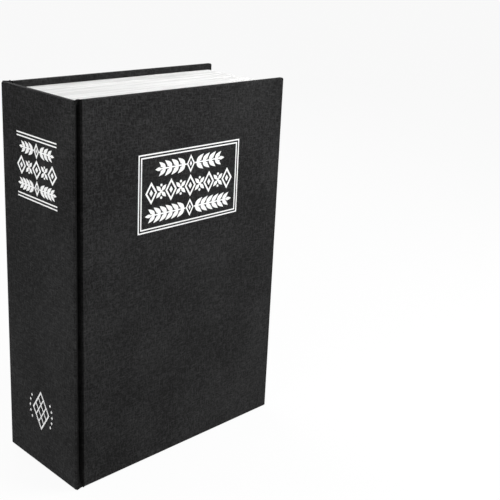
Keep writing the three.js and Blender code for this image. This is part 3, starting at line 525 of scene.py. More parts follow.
def three_sides(x0, x1, z0, z1, inset):
    """Points along the foot, the fore-edge and the head of a cover, in from its edges."""
    reach = max(EDGE_ROUND, inset)
    bend = max(EDGE_ROUND - inset, 0)
    end, low, high = x1 - reach, z0 + reach, z1 - reach
    across, up = 16, 24

    def corner(start, level):
        turns = [start + turn for turn in quarter_turn(CORNER_STEPS, 1)[:-1]]
        return [(end + bend * math.cos(turn), level + bend * math.sin(turn)) for turn in turns]

    foot = sorted([x0 + (end - x0) * (step / across) for step in range(across + 1)] + [end - CREASE])
    side = [low + (high - low) * step / up for step in range(up + 1)] + [low + CREASE, high - CREASE]
    points = [(x, z0 + inset) for x in foot]
    points += corner(-math.pi / 2, low)
    points += [(x1 - inset, z) for z in sorted(side)]
    points += corner(0, high)
    points += [(x, z1 - inset) for x in reversed(foot)]
    return points


def cover_cloth(name, node_low, node_high, face, hem):
    """The cloth of one cover, wrapped over three edges of its board, with mitred hems."""
    x0, x1, z0, z1 = node_low.x, node_high.x, node_low.z, node_high.z
    way = 1 if hem > face else -1
    form = bmesh.new()
    rows = []
    for inset, depth in edge_profile(abs(hem - face)):
        row = []
        for x, z in three_sides(x0, x1, z0, z1, inset):
            y = face + way * depth
            on_hem = depth > 2 * EDGE_ROUND and inset > EDGE_ROUND
            beside = abs((x1 - x) - inset)
            above = min(abs(z - z0 - inset), abs(z1 - z - inset))
            if on_hem and beside < AT_CORNER and above < AT_CORNER:
                y -= way * CREASE_DEPTH
            if inset < EDGE_ROUND:
                y += ripple((x, y, z), *CLOTH_RIPPLE)
            row.append(form.verts.new(Vector((x, y, z)) * MM))
        rows.append(row)
    strips(form, rows)
    form.faces.new(rows[0])
    form.faces.new([row[0] for row in rows])
    form.faces.new([row[-1] for row in rows])
    bmesh.ops.remove_doubles(form, verts=form.verts, dist=MERGE * MM)

    def faces_in():
        return way * sum(part.normal.y for part in form.faces if part.calc_area() > LARGE_FACE) > 0

    turn_normals(form, faces_in)
    return thicken(add_piece(name, form, "bookcloth"), CLOTH)


def groove_line(start, end, sunk):
    """The groove from the spine's corner to the cover's edge, as (x, depth) points: a
    slope, a bend at the bottom, and a wall that turns over onto the cover."""
    bottom = end - 2 * GROOVE_ROUND
    width = bottom - start
    steps = 14
    line = []
    for step in range(steps + 1):
        turn = math.pi * step / steps
        lean = math.atan2(GROOVE_DEPTH * math.pi * math.sin(turn) / 2, width)
        depth = GROOVE_DEPTH * (1 - math.cos(turn)) / 2 + sunk * math.cos(lean)
        line.append((start + width * step / steps - sunk * math.sin(lean), depth))
    quarter = quarter_turn(BEND_STEPS, 1)
    bend, edge = GROOVE_ROUND + sunk, GROOVE_ROUND - sunk
    level = GROOVE_DEPTH - GROOVE_ROUND
    line += [(bottom + bend * math.sin(turn), level + bend * math.cos(turn)) for turn in quarter]
    quarter.reverse()
    line += [(end - edge * math.sin(turn), GROOVE_ROUND - edge * math.cos(turn)) for turn in quarter]
    return line + [(end, sunk)]


def spine_cloth():
    """The cloth over the spine board, turned in at the head and foot. Its long edges slope
    away under the cloth of the grooves."""
    low, high = box_of("case_cloth")
    groove_start, groove_end = (corner.x for corner in box_of("front_joint_cloth"))
    corner = groove_start - low.x
    depth = box_of("spine_board")[1].x + CLOTH - low.x
    inner = low.x + depth
    slope = groove_line(groove_start, groove_end, CLOTH / 2)

    def sunk_at(x):
        for (x0, y0), (x1, y1) in zip(slope, slope[1:]):
            if x0 <= x <= x1:
                return y0 + (y1 - y0) * (x - x0) / (x1 - x0)
        return slope[0][1]

    stations = 20
    middle = range(1, stations)
    width, height = high.y - low.y - 2 * corner, high.z - low.z - 2 * TURN_IN
    quarter = quarter_turn(BEND_STEPS, 1)
    first = [(low.x + corner * (1 - math.sin(a)), low.y + corner * (1 - math.cos(a))) for a in quarter]
    flat = [(low.x, low.y + corner + width * step / stations) for step in middle]
    half = [(groove_start, low.y)] + first
    outer = half + flat + [(x, low.y + high.y - y) for x, y in reversed(half)]
    end_depth = sunk_at(inner)
    profile = edge_profile(depth)
    levels = [(low.z + inset, t) for inset, t in reversed(profile)]
    levels += [(low.z + TURN_IN + height * step / stations, 0) for step in middle]
    levels += [(high.z - inset, t) for inset, t in profile]
    form = bmesh.new()
    rows = []
    for z, t in levels:
        share = t / depth
        row = []
        for place, (x, y) in enumerate(outer):
            across = x + (inner - x) * share
            inner_y = min(max(y, low.y + end_depth), high.y - end_depth)
            along = y + (inner_y - y) * share
            if place in (0, len(outer) - 1) and share > 0:
                sunk = sunk_at(across)
                along = low.y + sunk if place == 0 else high.y - sunk
            if 0 < share < 1:
                across += ripple((x, y, z), *CLOTH_RIPPLE)
            row.append(form.verts.new(Vector((across, along, z)) * MM))
        rows.append(row)
    strips(form, rows)
    bmesh.ops.remove_doubles(form, verts=form.verts, dist=MERGE * MM)
    turn_normals(form, lambda: max(form.faces, key=lambda face: face.calc_area()).normal.x > 0)
    return thicken(add_piece("spine_cloth", form, "bookcloth"), CLOTH)


def groove_strip(name, low, high, face, side):
    """The cloth of one groove. At the head and the foot it is folded in, so it is thicker
    there and fills the groove. Its rounded ends are (place, share of the thickness)."""
    stations = 40
    end_shares = [(0, 0.3), (0.12, 0.62), (0.36, 0.88), (0.8, 1)]
    foot, head = low.z, high.z + FOLD_RISE
    rise = [(foot + place, share) for place, share in end_shares]
    rise += [(foot + FOLD_REACH * share, 1) for share in (0.45, 0.65, 0.85, 1)]
    fall = [(foot + head - z, share) for z, share in reversed(rise)]
    spaced = [foot + (head - foot) * step / stations for step in range(1, stations)]
    body = [(z, 1) for z in spaced if rise[-1][0] < z < fall[0][0]]
    outer_line = groove_line(low.x, high.x, 0)
    inner_line = groove_line(low.x, high.x, FOLD)
    form = bmesh.new()
    rows = []
    for z, share in rise + body + fall:
        at_foot = z < (foot + head) / 2
        filled = FOOT_HOLLOW if at_foot else HEAD_HOLLOW
        reach = min((z - foot) / FOOT_REACH if at_foot else (head - z) / FOLD_REACH, 1)
        hollow = filled + (1 - filled) * eased(reach)
        outer, inner = [], []
        for place, ((out_x, out_depth), in_point) in enumerate(zip(outer_line, inner_line)):
            free = math.sin(math.pi * place / (len(outer_line) - 1))
            shift = ripple((out_x, face, z), *GROOVE_RIPPLE) * free
            out_point = (out_x, out_depth * hollow)
            middle = [(a + b) / 2 for a, b in zip(out_point, in_point)]
            half = [(b - a) / 2 * share for a, b in zip(out_point, in_point)]
            for target, way in ((outer, -1), (inner, 1)):
                x = middle[0] + way * half[0]
                depth = middle[1] + way * half[1] + shift
                target.append(form.verts.new(Vector((x, face + side * depth, z)) * MM))
        rows.append(outer + inner[::-1])
    strips(form, rows, closed=True)
    form.faces.new(rows[0])
    form.faces.new(rows[-1])
    turn_normals(form)
    # The groove's cloth is the darkened joint cloth: painted shade for the groove's shadow.
    return add_piece(name, form, "joint_cloth")


def pastedown(name, node, face, board_level, edges, start):
    """A lining sheet that shows the edge of the hem under it."""
    low, high = box_of(node)
    cover_right, cover_foot, cover_head = edges
    spacing = 6

    def stations(start, end, hems):
        places = {start, end}
        for hem in hems:
            places |= {hem + HEM_RISE * share for share in (-0.5, -0.25, 0, 0.25, 0.5)}
        count = int((end - start) / spacing)
        places |= {start + (end - start) * step / count for step in range(count + 1)}
        return sorted(place for place in places if start <= place <= end)

    columns = stations(start, high.x, [cover_right - TURN_IN])
    levels = stations(low.z, high.z, [cover_foot + TURN_IN, cover_head - TURN_IN])
    form = bmesh.new()
    rows = []
    for z in levels:
        row = []
        for x in columns:
            inside = min(cover_right - x, z - cover_foot, cover_head - z) - TURN_IN
            share = eased(min(max(inside / HEM_RISE + 0.5, 0), 1))
            y = face + (board_level - face) * share + ripple((x, face, z), *PAPER_RIPPLE)
            row.append(form.verts.new(Vector((x, y, z)) * MM))
        rows.append(row)
    strips(form, rows)
    toward = 1 if face > board_level else -1
    turn_normals(form, lambda: form.faces[0].normal.y * toward < 0)
    return thicken(add_piece(name, form, "paper"), PAPER)


def joint_paper(turn_end):
    """The endpaper across the open joint: it leaves the pages, dips onto the cloth of the
    joint and laps onto the lining past `turn_end`."""
    low, high = box_of("front_joint_paper")
    page_front = box_of("page_block")[0].y
    lining = box_of("front_pastedown")[1].y
    dip = cover_face + GROOVE_DEPTH + FOLD + PAPER / 2
    lap = lining + PAPER / 2
    fall, climb = 0.5, 0.6
    knots = [
        (low.x, page_front - PAPER / 4), (low.x + fall, dip), (turn_end - climb, dip),
        (turn_end, lap), (high.x, lap),
    ]
    steps, stations = 6, 24
    profile = []
    for (x0, y0), (x1, y1) in zip(knots, knots[1:]):
        for step in range(steps):
            share = step / steps
            profile.append((x0 + (x1 - x0) * share, y0 + (y1 - y0) * eased(share)))
    profile.append(knots[-1])
    form = bmesh.new()
    rows = []
    for station in range(stations + 1):
        z = low.z + (high.z - low.z) * station / stations
        rows.append([form.verts.new(Vector((x, y, z)) * MM) for x, y in profile])
    strips(form, rows)
    turn_normals(form, lambda: form.faces[0].normal.y < 0)
    return thicken(add_piece("front_joint_sheet", form, "paper"), PAPER / 2)


def page_leaves():
    """The shell of glued leaves round the box. Each thin bundle stands back by its own
    small amount, and its edge waves a little along its length."""
    low, high = box_of("page_block")
    box_low, box_high = box_of("box_shell")
    gap, bundles, relief = 0.2, 96, 0.3
    across, up = 22, 32
    scatter, own_share, drift = 0.618, 0.6, 1.7

    def ring(x0, x1, z0, z1):
        foot = [(x0 + (x1 - x0) * step / across, z0) for step in range(across)]
        fore = [(x1, z0 + (z1 - z0) * step / up) for step in range(up)]
        head = [(x1 - (x1 - x0) * step / across, z1) for step in range(across)]
        back = [(x0, z1 - (z1 - z0) * step / up) for step in range(up)]
        return foot + fore + head + back

    outer = ring(low.x, high.x, low.z, high.z)
    hole = ring(box_low.x - gap, box_high.x + gap, box_low.z - gap, box_high.z + gap)
    centre = ((low.x + high.x) / 2, (low.z + high.z) / 2)
    form = bmesh.new()
    rows = []
    depth = high.y - low.y
    for bundle in range(bundles):
        own = 0 if bundle in (0, bundles - 1) else relief * (bundle * scatter % 1)
        for y in (low.y + depth * bundle / bundles, low.y + depth * (bundle + 1) / bundles):
            row = []
            for x, z in outer:
                wave = ripple((x, bundle * drift, z), *LEAF_RIPPLE)
                back = max(own * own_share + wave, 0)
                inward_x = math.copysign(back, centre[0] - x) if x in (low.x, high.x) else 0
                inward_z = math.copysign(back, centre[1] - z) if z in (low.z, high.z) else 0
                row.append(form.verts.new(Vector((x + inward_x, y, z + inward_z)) * MM))
            rows.append(row)
    strips(form, rows, closed=True)
    hole_rows = [[form.verts.new(Vector((x, y, z)) * MM) for x, z in hole] for y in (low.y, high.y)]
    strips(form, hole_rows, closed=True)
    strips(form, [rows[0], hole_rows[0]], closed=True)
    strips(form, [rows[-1], hole_rows[1]], closed=True)
    turn_normals(form)
    return add_piece("page_leaves", form, "page_edges", PAGE_DEGREES)


def refined(node, material, ease):
    """A finer stand-in for a CAD solid: joined faces, eased edges, smooth round faces."""
    source = frame["nodes"][node]
    flat_turn, sharp_turn = math.radians(0.5), math.radians(35)
    form = bmesh.new()
    form.from_mesh(source.data)
    bmesh.ops.remove_doubles(form, verts=form.verts, dist=SOLID_MERGE * MM)
    bmesh.ops.dissolve_limit(
        form, angle_limit=flat_turn, verts=form.verts, edges=form.edges, delimit={"NORMAL"},
    )
    edges = [edge for edge in form.edges if edge.is_manifold and edge.calc_face_angle(0) > sharp_turn]
    bmesh.ops.bevel(
        form, geom=edges, offset=ease * MM, segments=2, profile=0.5, affect="EDGES", clamp_overlap=True,
    )
    piece = add_piece(f"{node}_finish", form, material)
    modifier = piece.modifiers.new("flat_faces", "WEIGHTED_NORMAL")
    modifier.keep_sharp = True
    finish_piece(piece, material, source["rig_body"], node)


def flat_on_cover(u, v, out):
    """Foil places on the front cover: u to the right, v up, out toward the reader."""
    return Vector((u, cover_face - out, v)) * MM


def flat_on_spine(u, v, out):
    """Foil places on the spine: u to the reader's right, v up."""
    return Vector((spine_face - out, -u, v)) * MM


def stamp(form, outline, place, level=0):
    """One foil shape: a thin plate with its top just proud of the cloth. Shapes that
    overlap lie at different levels."""
    proud = FOIL_PROUD + level * FOIL_LEVEL
    top = [form.verts.new(place(u, v, proud)) for u, v in outline]
    foot = [form.verts.new(place(u, v, proud - FOIL)) for u, v in outline]
    strips(form, [top, foot], closed=True)
    form.faces.new(top)
    form.faces.new(foot[::-1])


def stamp_line(form, points, width, place, closed=False, level=0):
    """A foil line of the given width along points."""
    proud = FOIL_PROUD + level * FOIL_LEVEL
    count = len(points)
    rows = []
    for number, (u, v) in enumerate(points):
        before = points[number - 1] if number or closed else points[0]
        after = points[(number + 1) % count] if number < count - 1 or closed else points[-1]
        incoming = Vector((u - before[0], v - before[1]))
        outgoing = Vector((after[0] - u, after[1] - v))
        along = (incoming.normalized() + outgoing.normalized()).normalized()
        half = width / 2
        if incoming.length > 0 and outgoing.length > 0:
            half /= max(along.dot(outgoing.normalized()), MITRE_LIMIT)
        left = (u - along.y * half, v + along.x * half)
        right = (u + along.y * half, v - along.x * half)
        corners = [(left, proud), (right, proud), (right, proud - FOIL), (left, proud - FOIL)]
        rows.append([form.verts.new(place(*point, out)) for point, out in corners])
    if closed:
        rows.append(rows[0])
    strips(form, rows, closed=True)
    if not closed:
        form.faces.new(rows[0])
        form.faces.new(rows[-1][::-1])


def leaf(foot, angle, length, width, sweep=0.0):
    """A pointed leaf that grows from its foot and bends by `sweep` toward its left."""
    steps = 9
    along = Vector((math.cos(angle), math.sin(angle)))
    across = Vector((-along.y, along.x))
    start = Vector(foot)

    def spot(share, side):
        half = width / 2 * math.sin(math.pi * share ** 0.75) if 0 < share < 1 else 0
        return start + along * length * share + across * (sweep * length * share ** 2 + side * half)

    left = [spot(step / steps, 1) for step in range(1, steps)]
    right = [spot(step / steps, -1) for step in range(steps - 1, 0, -1)]
    return [tuple(point) for point in [start, *left, spot(1, 0), *right]]


def lozenge(centre, width, height):
    u, v = centre
    return [(u - width / 2, v), (u, v - height / 2), (u + width / 2, v), (u, v + height / 2)]


def circle(centre, radius, steps):
    turns = [2 * math.pi * step / steps for step in range(steps)]
    return [(centre[0] + radius * math.cos(turn), centre[1] + radius * math.sin(turn)) for turn in turns]


def rule(form, u0, u1, v, place):
    half = RULE / 2
    stamp(form, [(u0, v - half), (u1, v - half), (u1, v + half), (u0, v + half)], place)


def frame_rules(form, u0, u1, v0, v1, place):
    """A rectangle of one rule, with mitred corners."""
    outer = [(u0, v0), (u1, v0), (u1, v1), (u0, v1)]
    inner = [(u0 + RULE, v0 + RULE), (u1 - RULE, v0 + RULE), (u1 - RULE, v1 - RULE), (u0 + RULE, v1 - RULE)]
    for side in range(4):
        other = (side + 1) % 4
        stamp(form, [outer[side], outer[other], inner[other], inner[side]], place)


def garland(form, middle, width, height, pairs, place):
    """Leaves in pairs along a stem, away from a lozenge at the middle, with berries. All
    its bare shares are shares of the row's height or of the step between two pairs."""
    u, v = middle
    gap = height * 0.3
    reach = width / 2 - height * 0.34
    step = (reach - gap) / pairs
    for way in (-1, 1):
        stamp_line(form, [(u + way * gap, v), (u + way * reach, v)], FINE_STROKE, place)
        for pair in range(pairs):
            foot = u + way * (gap + step * (pair + 0.25))
            size = height * (0.62 if pair < pairs - 1 else 0.56)
            for side in (-1, 1):
                angle = side * math.radians(50)
                if way < 0:
                    angle = math.pi - angle
                bend = -0.16 * side * way
                stamp(form, leaf((foot, v), angle, size, size * 0.4, bend), place, 1)
            berry = foot + way * step * 0.62
            for side in (-1, 1):
                stamp(form, circle((berry, v + side * height * 0.14), height * 0.055, 12), place, 2)
        end = 0 if way > 0 else math.pi
        tip = (u + way * (reach - height * 0.06), v)
        stamp(form, leaf(tip, end, height * 0.4, height * 0.19), place, 1)
    stamp_line(form, lozenge(middle, height * 0.46, height * 0.8), STROKE * 0.8, place, closed=True)
    stamp(form, lozenge(middle, height * 0.16, gap), place)


def chain(form, middle, width, height, links, place):
    """Open lozenges and four-petalled flowers by turns, sized by shares of the step and
    the row's height."""
    step = width / links
    for link in range(links):
        centre = (middle[0] - width / 2 + step * (link + 0.5), middle[1])
        if link % 2 == 0:
            stamp_line(form, lozenge(centre, step * 0.98, height * 0.96), STROKE, place, closed=True)
            stamp(form, lozenge(centre, step * 0.36, height * 0.36), place)
            continue
        for petal in range(4):
            angle = math.pi / 4 + math.pi / 2 * petal
            size = math.hypot(step, height) * 0.32
            start = size * 0.16
            foot = (centre[0] + start * math.cos(angle), centre[1] + start * math.sin(angle))
            stamp(form, leaf(foot, angle, size, size * 0.52), place)
        for side in (-1, 1):
            stamp(form, circle((centre[0], centre[1] + side * height * 0.32), height * 0.07, 14), place)
        stamp(form, circle(centre, height * 0.085, 14), place, 1)


def trellis(form, centre, halves, place):
    """A lozenge crossed by two lines each way, with a row of beads beside each side."""
    u, v = centre
    wide, tall = halves
    inner = wide * 0.74
    stamp_line(form, lozenge(centre, 2 * inner, 2 * tall), FINE_STROKE * 1.1, place, closed=True)
    for share in (-1 / 3, 1 / 3):
        for way in (-1, 1):
            start = (u - inner * (1 - share) / 2, v + way * tall * (1 + share) / 2)
            end = (u + inner * (1 + share) / 2, v - way * tall * (1 - share) / 2)
            stamp_line(form, [start, end], FINE_STROKE * 0.8, place, level=1 if way > 0 else 2)
    for side in (-1, 1):
        for degrees in BEAD_DEGREES:
            turn = math.radians(degrees)
            spot = (u + side * wide * BEADS_OUT * math.cos(turn), v + tall * BEADS_OUT * math.sin(turn))
            stamp(form, lozenge(spot, *BEAD), place)


# Rows of ornament: how each is drawn, its rise from the middle row, its width and height,
# and its pairs of leaves or its links
LABEL_ROWS = [(garland, 10.5, 42, 8.8, 4), (chain, 0, 52, 9.2, 9), (garland, -10.5, 53, 8.8, 6)]
SPINE_ROWS = [(garland, 8.4, 27, 7.0, 3), (chain, 0, 30, 7.6, 5), (garland, -8.4, 30, 7.0, 4)]


def ornament(form, rows, middle, level, place):
    for draw, rise, width, height, count in rows:
        draw(form, (middle, level + rise), width, height, count, place)


def foil_pieces():
    label = bmesh.new()
    left, right = LABEL_X
    foot, head = LABEL_Z
    for inset in (0, RULE_SPACE):
        frame_rules(label, left + inset, right - inset, foot + inset, head - inset, flat_on_cover)
    ornament(label, LABEL_ROWS, (left + right) / 2, (foot + head) / 2, flat_on_cover)
    turn_normals(label)
    finish_piece(add_piece("cover_label_foil", label, "foil"), "foil", "front_cover")

    spine = bmesh.new()
    top, low = SPINE_RULES_Z
    for z in (top, top - SPINE_RULE_SPACE, low, low + SPINE_RULE_SPACE):
        rule(spine, -SPINE_RULE_Y, SPINE_RULE_Y, z, flat_on_spine)
    ornament(spine, SPINE_ROWS, 0, (top + low) / 2, flat_on_spine)
    trellis(spine, EMBLEM_PLACE, EMBLEM_HALVES, flat_on_spine)
    turn_normals(spine)
    finish_piece(add_piece("spine_foil", spine, "foil"), "foil", "root")


def cloth_pieces():
    front_low, front_high = box_of("front_cover_cloth")
    case_low, case_high = box_of("case_cloth")
    joint_low, joint_high = box_of("front_joint_cloth")
    front = cover_cloth("front_cover_sheet", front_low, front_high, front_low.y, front_high.y)
    finish_piece(front, "bookcloth", "front_cover", "front_cover_cloth")

    hem = box_of("back_board")[0].y - CLOTH
    back_low = Vector((joint_high.x, case_low.y, case_low.z))
    back = cover_cloth("back_cover_sheet", back_low, case_high, case_high.y, hem)
    finish_piece(back, "bookcloth", "root", "case_cloth")
    finish_piece(spine_cloth(), "bookcloth", "root", "case_cloth")

    back_joint = groove_strip("back_joint_sheet", joint_low, joint_high, case_high.y, -1)
    finish_piece(back_joint, "bookcloth", "root", "case_cloth")
    front_joint = groove_strip("front_joint_cloth_sheet", joint_low, joint_high, front_low.y, 1)
    finish_piece(front_joint, "bookcloth", None, "front_joint_cloth")
    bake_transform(front_joint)


def paper_pieces():
    front_low, front_high = box_of("front_cover_cloth")
    lining_low, lining_high = box_of("front_pastedown")
    edges = (front_high.x, front_low.z, front_high.z)
    front = pastedown(
        "front_lining", "front_pastedown", lining_high.y, lining_low.y + PAPER, edges, front_low.x + CLOTH,
    )
    finish_piece(front, "paper", "front_cover", "front_pastedown")
    back_low, back_high = box_of("back_pastedown")
    back = pastedown("back_lining", "back_pastedown", back_low.y, back_high.y - PAPER, edges, back_low.x)
    finish_piece(back, "paper", "root", "back_pastedown")

    joint_low, joint_high = box_of("front_joint_paper")
    turn_end = joint_low.x + PAPER_TURN
    sheet = joint_paper(turn_end)
    finish_piece(sheet, "paper", None, "front_joint_paper")
    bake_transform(sheet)
    finish_piece(page_leaves(), "paper", "root", "page_block")


def revolve(name, profile, centre, axis, material, steps=ROUND_STEPS):
    """A profile of (radius, height) points turned about the axis through centre. It
    starts and ends on the axis, or it is closed."""
    sides = {"y": ((0, 0, 1), (1, 0, 0), (0, 1, 0)), "x": ((0, 1, 0), (0, 0, 1), (1, 0, 0))}
    first, second, along = (Vector(side) for side in sides[axis])
    form = bmesh.new()
    rows = []
    for radius, height in profile:
        row = []
        for step in range(steps):
            turn = 2 * math.pi * step / steps
            spot = centre + along * height + (first * math.cos(turn) + second * math.sin(turn)) * radius
            row.append(form.verts.new(spot * MM))
        rows.append(row)
    if profile[0][0] > 0:
        rows.append(rows[0])
    strips(form, rows, closed=True)
    bmesh.ops.remove_doubles(form, verts=form.verts, dist=ROUND_MERGE * MM)
    turn_normals(form)
    return add_piece(name, form, material, ROUND_DEGREES)


def cut_away(piece, low, high, turn=0.0, centre=None):
    """Cuts a box of space out of a piece. The box may be turned about Y through centre."""
    form = bmesh.new()
    bmesh.ops.create_cube(form, size=1)
    size, middle = high - low, (low + high) / 2
    for vertex in form.verts:
        vertex.co = (middle + Vector(a * b for a, b in zip(vertex.co, size))) * MM
    mesh = bpy.data.meshes.new("space")
    form.to_mesh(mesh)
    form.free()
    space = add_object("space", mesh)
    if turn:
        pivot = Matrix.Translation(centre * MM)
        space.matrix_world = pivot @ Matrix.Rotation(turn, 4, "Y") @ pivot.inverted()
    modifier = piece.modifiers.new("cut", "BOOLEAN")
    modifier.operation = "DIFFERENCE"
    modifier.solver = "EXACT"
    modifier.object = space
    bpy.context.view_layer.update()
    apply_modifiers(piece, ROUND_DEGREES)
    bpy.data.objects.remove(space)


def cut_flats(piece, centre, flat, reach, y0, y1):
    """Cuts two flats that face X, `flat` from the axis, out of a round piece."""
    for way in (-1, 1):
        sides = sorted([centre.x + way * flat, centre.x + way * reach])
        cut_away(piece, Vector((sides[0], y0, centre.z - reach)), Vector((sides[1], y1, centre.z + reach)))


def lock_pieces():
    """The lock's head and threaded barrel, and the plug with its keyway."""
    body_low, body_high = box_of("lock_body")
    door_front = body_low.y + LOCK_HEAD
    centre = Vector(((body_low.x + body_high.x) / 2, door_front, (body_low.z + body_high.z) / 2))
    bore = PLUG_RADIUS + LOCK_GAP
    root = BARREL_RADIUS - THREAD_DEPTH
    out, down = BORE_CHAMFER
    head = [(bore, down - LOCK_HEAD), (bore + out, -LOCK_HEAD)]
    head += [(radius, depth - LOCK_HEAD) for radius, depth in HEAD_RINGS]
    head += [(LOCK_HEAD_RADIUS, HEAD_EASE - LOCK_HEAD), (LOCK_HEAD_RADIUS, -HEAD_EDGE)]
    head.append((LOCK_HEAD_RADIUS - HEAD_EDGE, 0))
    threads = [(root, 0)]
    for thread in range(int((BARREL_LENGTH - 2 * THREAD_START) / THREAD_PITCH)):
        foot = THREAD_START + thread * THREAD_PITCH
        crest = [(BARREL_RADIUS, foot + THREAD_PITCH * share) for share in THREAD_CREST]
        threads += [(root, foot), *crest]
    out, down = BARREL_CHAMFER
    tail = [(root, BARREL_LENGTH - down), (root - out, BARREL_LENGTH), (bore, BARREL_LENGTH)]
    body = revolve("lock_body_finish", head + threads + tail, centre, "y", "nickel")
    barrel_end = door_front + BARREL_LENGTH
    cut_flats(body, centre, BARREL_FLAT, 2 * BARREL_RADIUS, door_front + FLAT_START, barrel_end + CUT_CLEAR)
    foot, top = (centre.z + z for z in STOP_NOTCH_Z)
    for left, right, degrees in STOP_NOTCHES:
        notch_low = Vector((centre.x + left, barrel_end - STOP_NOTCH_DEPTH, foot))
        notch_high = Vector((centre.x + right, barrel_end + CUT_CLEAR, top))
        cut_away(body, notch_low, notch_high, math.radians(degrees), centre)
    finish_piece(body, "nickel", "door", "lock_body")

    face = PLUG_RECESS - LOCK_HEAD
    plug_end = box_of("lock_plug")[1].y - door_front
    profile = [(0, face)] + [(PLUG_RADIUS - inset, face + depth) for inset, depth in PLUG_EDGE]
    profile += [(PLUG_RADIUS, BARREL_LENGTH), (TAIL_RADIUS, BARREL_LENGTH)]
    profile += [(TAIL_RADIUS, plug_end - TAIL_EDGE), (TAIL_RADIUS - TAIL_EDGE, plug_end), (0, plug_end)]
    plug = revolve("lock_plug_finish", profile, centre, "y", "nickel")
    cut_flats(plug, centre, TAIL_FLAT, BARREL_RADIUS, barrel_end, door_front + plug_end + CUT_CLEAR)
    half_width, half_height = KEYWAY
    low = Vector((centre.x - half_width, door_front + face - CUT_CLEAR, centre.z - half_height))
    high = Vector((centre.x + half_width, door_front + KEYWAY_END, centre.z + half_height))
    cut_away(plug, low, high)
    finish_piece(plug, "nickel", "lock_rotor", "lock_plug")


def rivet_piece(node, axis):
    """A domed head, its shank and its flat tail."""
    low, high = box_of(node)
    start, end = (low.y, high.y) if axis == "y" else (high.x, low.x)
    way = math.copysign(1, end - start)
    centre = (low + high) / 2
    setattr(centre, axis, 0)
    head, tail = start + way * RIVET_HEAD, end - way * RIVET_TAIL
    dome = [(math.sin(turn), 1 - math.cos(turn)) for turn in quarter_turn(DOME_STEPS)]
    profile = [(RIVET_HEAD_RADIUS * out, start + way * RIVET_HEAD * down) for out, down in dome]
    profile += [(RIVET_RADIUS, head), (RIVET_RADIUS, tail)]
    profile += [(RIVET_TAIL_RADIUS, tail), (RIVET_TAIL_RADIUS, end), (0, end)]
    piece = revolve(f"{node}_finish", profile, centre, axis, "zinc", RIVET_STEPS)
    finish_piece(piece, "zinc", "root", node)


def split_ring():
    """Two close turns of wire that end side by side."""
    low, high = box_of("key_ring")
    centre = (low + high) / 2
    radius = (high.x - low.x) / 2 - RING_ROOM
    rise = high.z - low.z - 2 * RING_ROOM
    whole = 2 * math.pi * RING_TURNS
    climb_start, climb_length = RING_CLIMB
    steps, around = 144, 12
    form = bmesh.new()
    rows = []
    for step in range(steps + 1):
        turn = whole * step / steps * RING_SHARE
        climb = min(max((turn / whole - climb_start) / climb_length, 0), 1)
        level = centre.z + rise * (eased(climb) - 0.5)
        out = Vector((math.cos(turn), math.sin(turn), 0))
        middle = Vector((centre.x, centre.y, level)) + out * radius
        row = []
        for side in range(around):
            angle = 2 * math.pi * side / around
            spot = middle + out * (RING_WIRE * math.cos(angle))
            spot += Vector((0, 0, RING_WIRE * math.sin(angle)))
            row.append(form.verts.new(spot * MM))
        rows.append(row)
    strips(form, rows, closed=True)
    form.faces.new(rows[0])
    form.faces.new(rows[-1][::-1])
    turn_normals(form)
    finish_piece(add_piece("key_ring_finish", form, "nickel"), "nickel", "key_ring", "key_ring")


def rigid_pieces():
    for node in ("box_shell", "door_pan", "strike_strip"):
        refined(node, "black_paint", 0.15)
    refined("lock_nut", "nickel", 0.1)
    for node in ("lock_tooth_washer", "cam_stop_washer", "lock_cam", "cam_spring_washer", "cam_screw"):
        refined(node, "zinc", 0.08)
    for node in ("hinge_pin_top", "hinge_pin_bottom", "hinge_washer_top", "hinge_washer_bottom"):
        refined(node, "zinc", 0.06)
    for number in (1, 2, 3, 4):
        rivet_piece(f"back_rivet_{number}", "y")
    for number in (1, 2):
        rivet_piece(f"side_rivet_{number}", "x")
        refined(f"key_{number}_blade", "nickel", 0.08)
        refined(f"key_{number}_bow", "black_plastic", 0.12)
    lock_pieces()
    split_ring()


def carried_over():
    """The boards stay as they are, under their cloth."""
    for node in ("spine_board", "back_board", "front_board"):
        mesh = frame["nodes"][node].data
        mesh.materials.clear()
        mesh.materials.append(materials["board"])


# The floor's width and drop in metres, the strength of the white it shows and that white's
# share, and the strength at which the world lights the scene
FLOOR_SIZE = 8
FLOOR_DROP = 0.0002
FLOOR_GLOW = 1.08
FLOOR_SHARE = 0.86
WORLD_LIGHT = 0.22


def mix_shaders(tree, output, factor, first, second):
    """Shows the first shader where the factor is 0 and the second where it is 1."""
    blend = tree.nodes.new("ShaderNodeMixShader")
    for source, socket in zip((factor, first, second), blend.inputs):
        tree.links.new(source, socket)
    tree.links.new(blend.outputs[0], tree.nodes[output].inputs["Surface"])


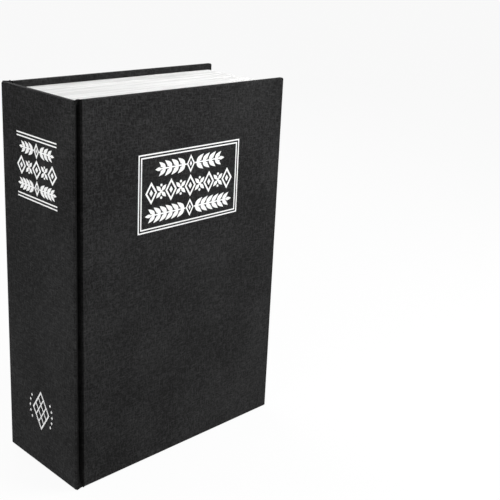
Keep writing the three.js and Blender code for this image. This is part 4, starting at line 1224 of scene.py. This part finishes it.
def floor_material():
    """White to the camera and to reflections, with enough of the plain floor left to keep
    the shadow."""
    shader = Shader("floor", (0.36, 0.36, 0.36), 0.9)
    path = shader.nodes.new("ShaderNodeLightPath").outputs
    seen = shader.math("MAXIMUM", path["Is Camera Ray"], path["Is Glossy Ray"])
    seen = shader.math("MAXIMUM", seen, path["Is Transmission Ray"])
    glow = shader.nodes.new("ShaderNodeEmission")
    glow.inputs["Strength"].default_value = FLOOR_GLOW
    share = shader.math("MULTIPLY", seen, FLOOR_SHARE)
    tree = shader.material.node_tree
    mix_shaders(tree, "Material Output", share, shader.bsdf.outputs[0], glow.outputs[0])
    return shader.material


def make_floor():
    mesh = bpy.data.meshes.new("floor")
    half = FLOOR_SIZE / 2
    corners = [(-half, -half, 0), (half, -half, 0), (half, half, 0), (-half, half, 0)]
    mesh.from_pydata(corners, [], [(0, 1, 2, 3)])
    mesh.materials.append(floor_material())
    floor = add_object("floor", mesh)
    floor.location.z = -FLOOR_DROP


def make_world():
    """White to the camera, and dimmer where it lights the scene."""
    world = bpy.data.worlds.new("studio")
    bpy.context.scene.world = world
    world.use_nodes = True
    tree = world.node_tree
    path = tree.nodes.new("ShaderNodeLightPath").outputs
    plain = tree.nodes["Background"]
    shown = tree.nodes.new("ShaderNodeBackground")
    for background, strength in ((plain, WORLD_LIGHT), (shown, 1)):
        background.inputs["Color"].default_value = (1, 1, 1, 1)
        background.inputs["Strength"].default_value = strength
    seen = tree.nodes.new("ShaderNodeMath")
    seen.operation = "MAXIMUM"
    tree.links.new(path["Is Camera Ray"], seen.inputs[0])
    tree.links.new(path["Is Transmission Ray"], seen.inputs[1])
    mix_shaders(tree, "World Output", seen.outputs[0], plain.outputs[0], shown.outputs[0])


LAMP_AIM = (0, 0, 0.09)
# Each lamp: where it stands, its width in metres and its power in watts
LAMPS = {
    "key": ((0.3, -0.3, 0.36), 0.3, 2.7),
    "side": ((-0.34, -0.12, 0.22), 0.25, 0.9),
    "top": ((0.1, 0.0, 1.0), 0.8, 1.7),
    "rear": ((0.2, 0.7, 0.45), 0.5, 2.8),
}


def make_lamps():
    for name, (place, width, power) in LAMPS.items():
        lamp = bpy.data.lights.new(name, "AREA")
        lamp.shape = "SQUARE"
        lamp.size = width
        lamp.energy = power
        holder = add_object(name, lamp)
        holder.location = place
        sight = Vector(LAMP_AIM) - Vector(place)
        holder.rotation_euler = sight.to_track_quat("-Z", "Y").to_euler()


make_camera()
cloth_pieces()
paper_pieces()
rigid_pieces()
carried_over()
foil_pieces()
make_floor()
make_world()
make_lamps()
bpy.context.scene.view_settings.view_transform = "Standard"
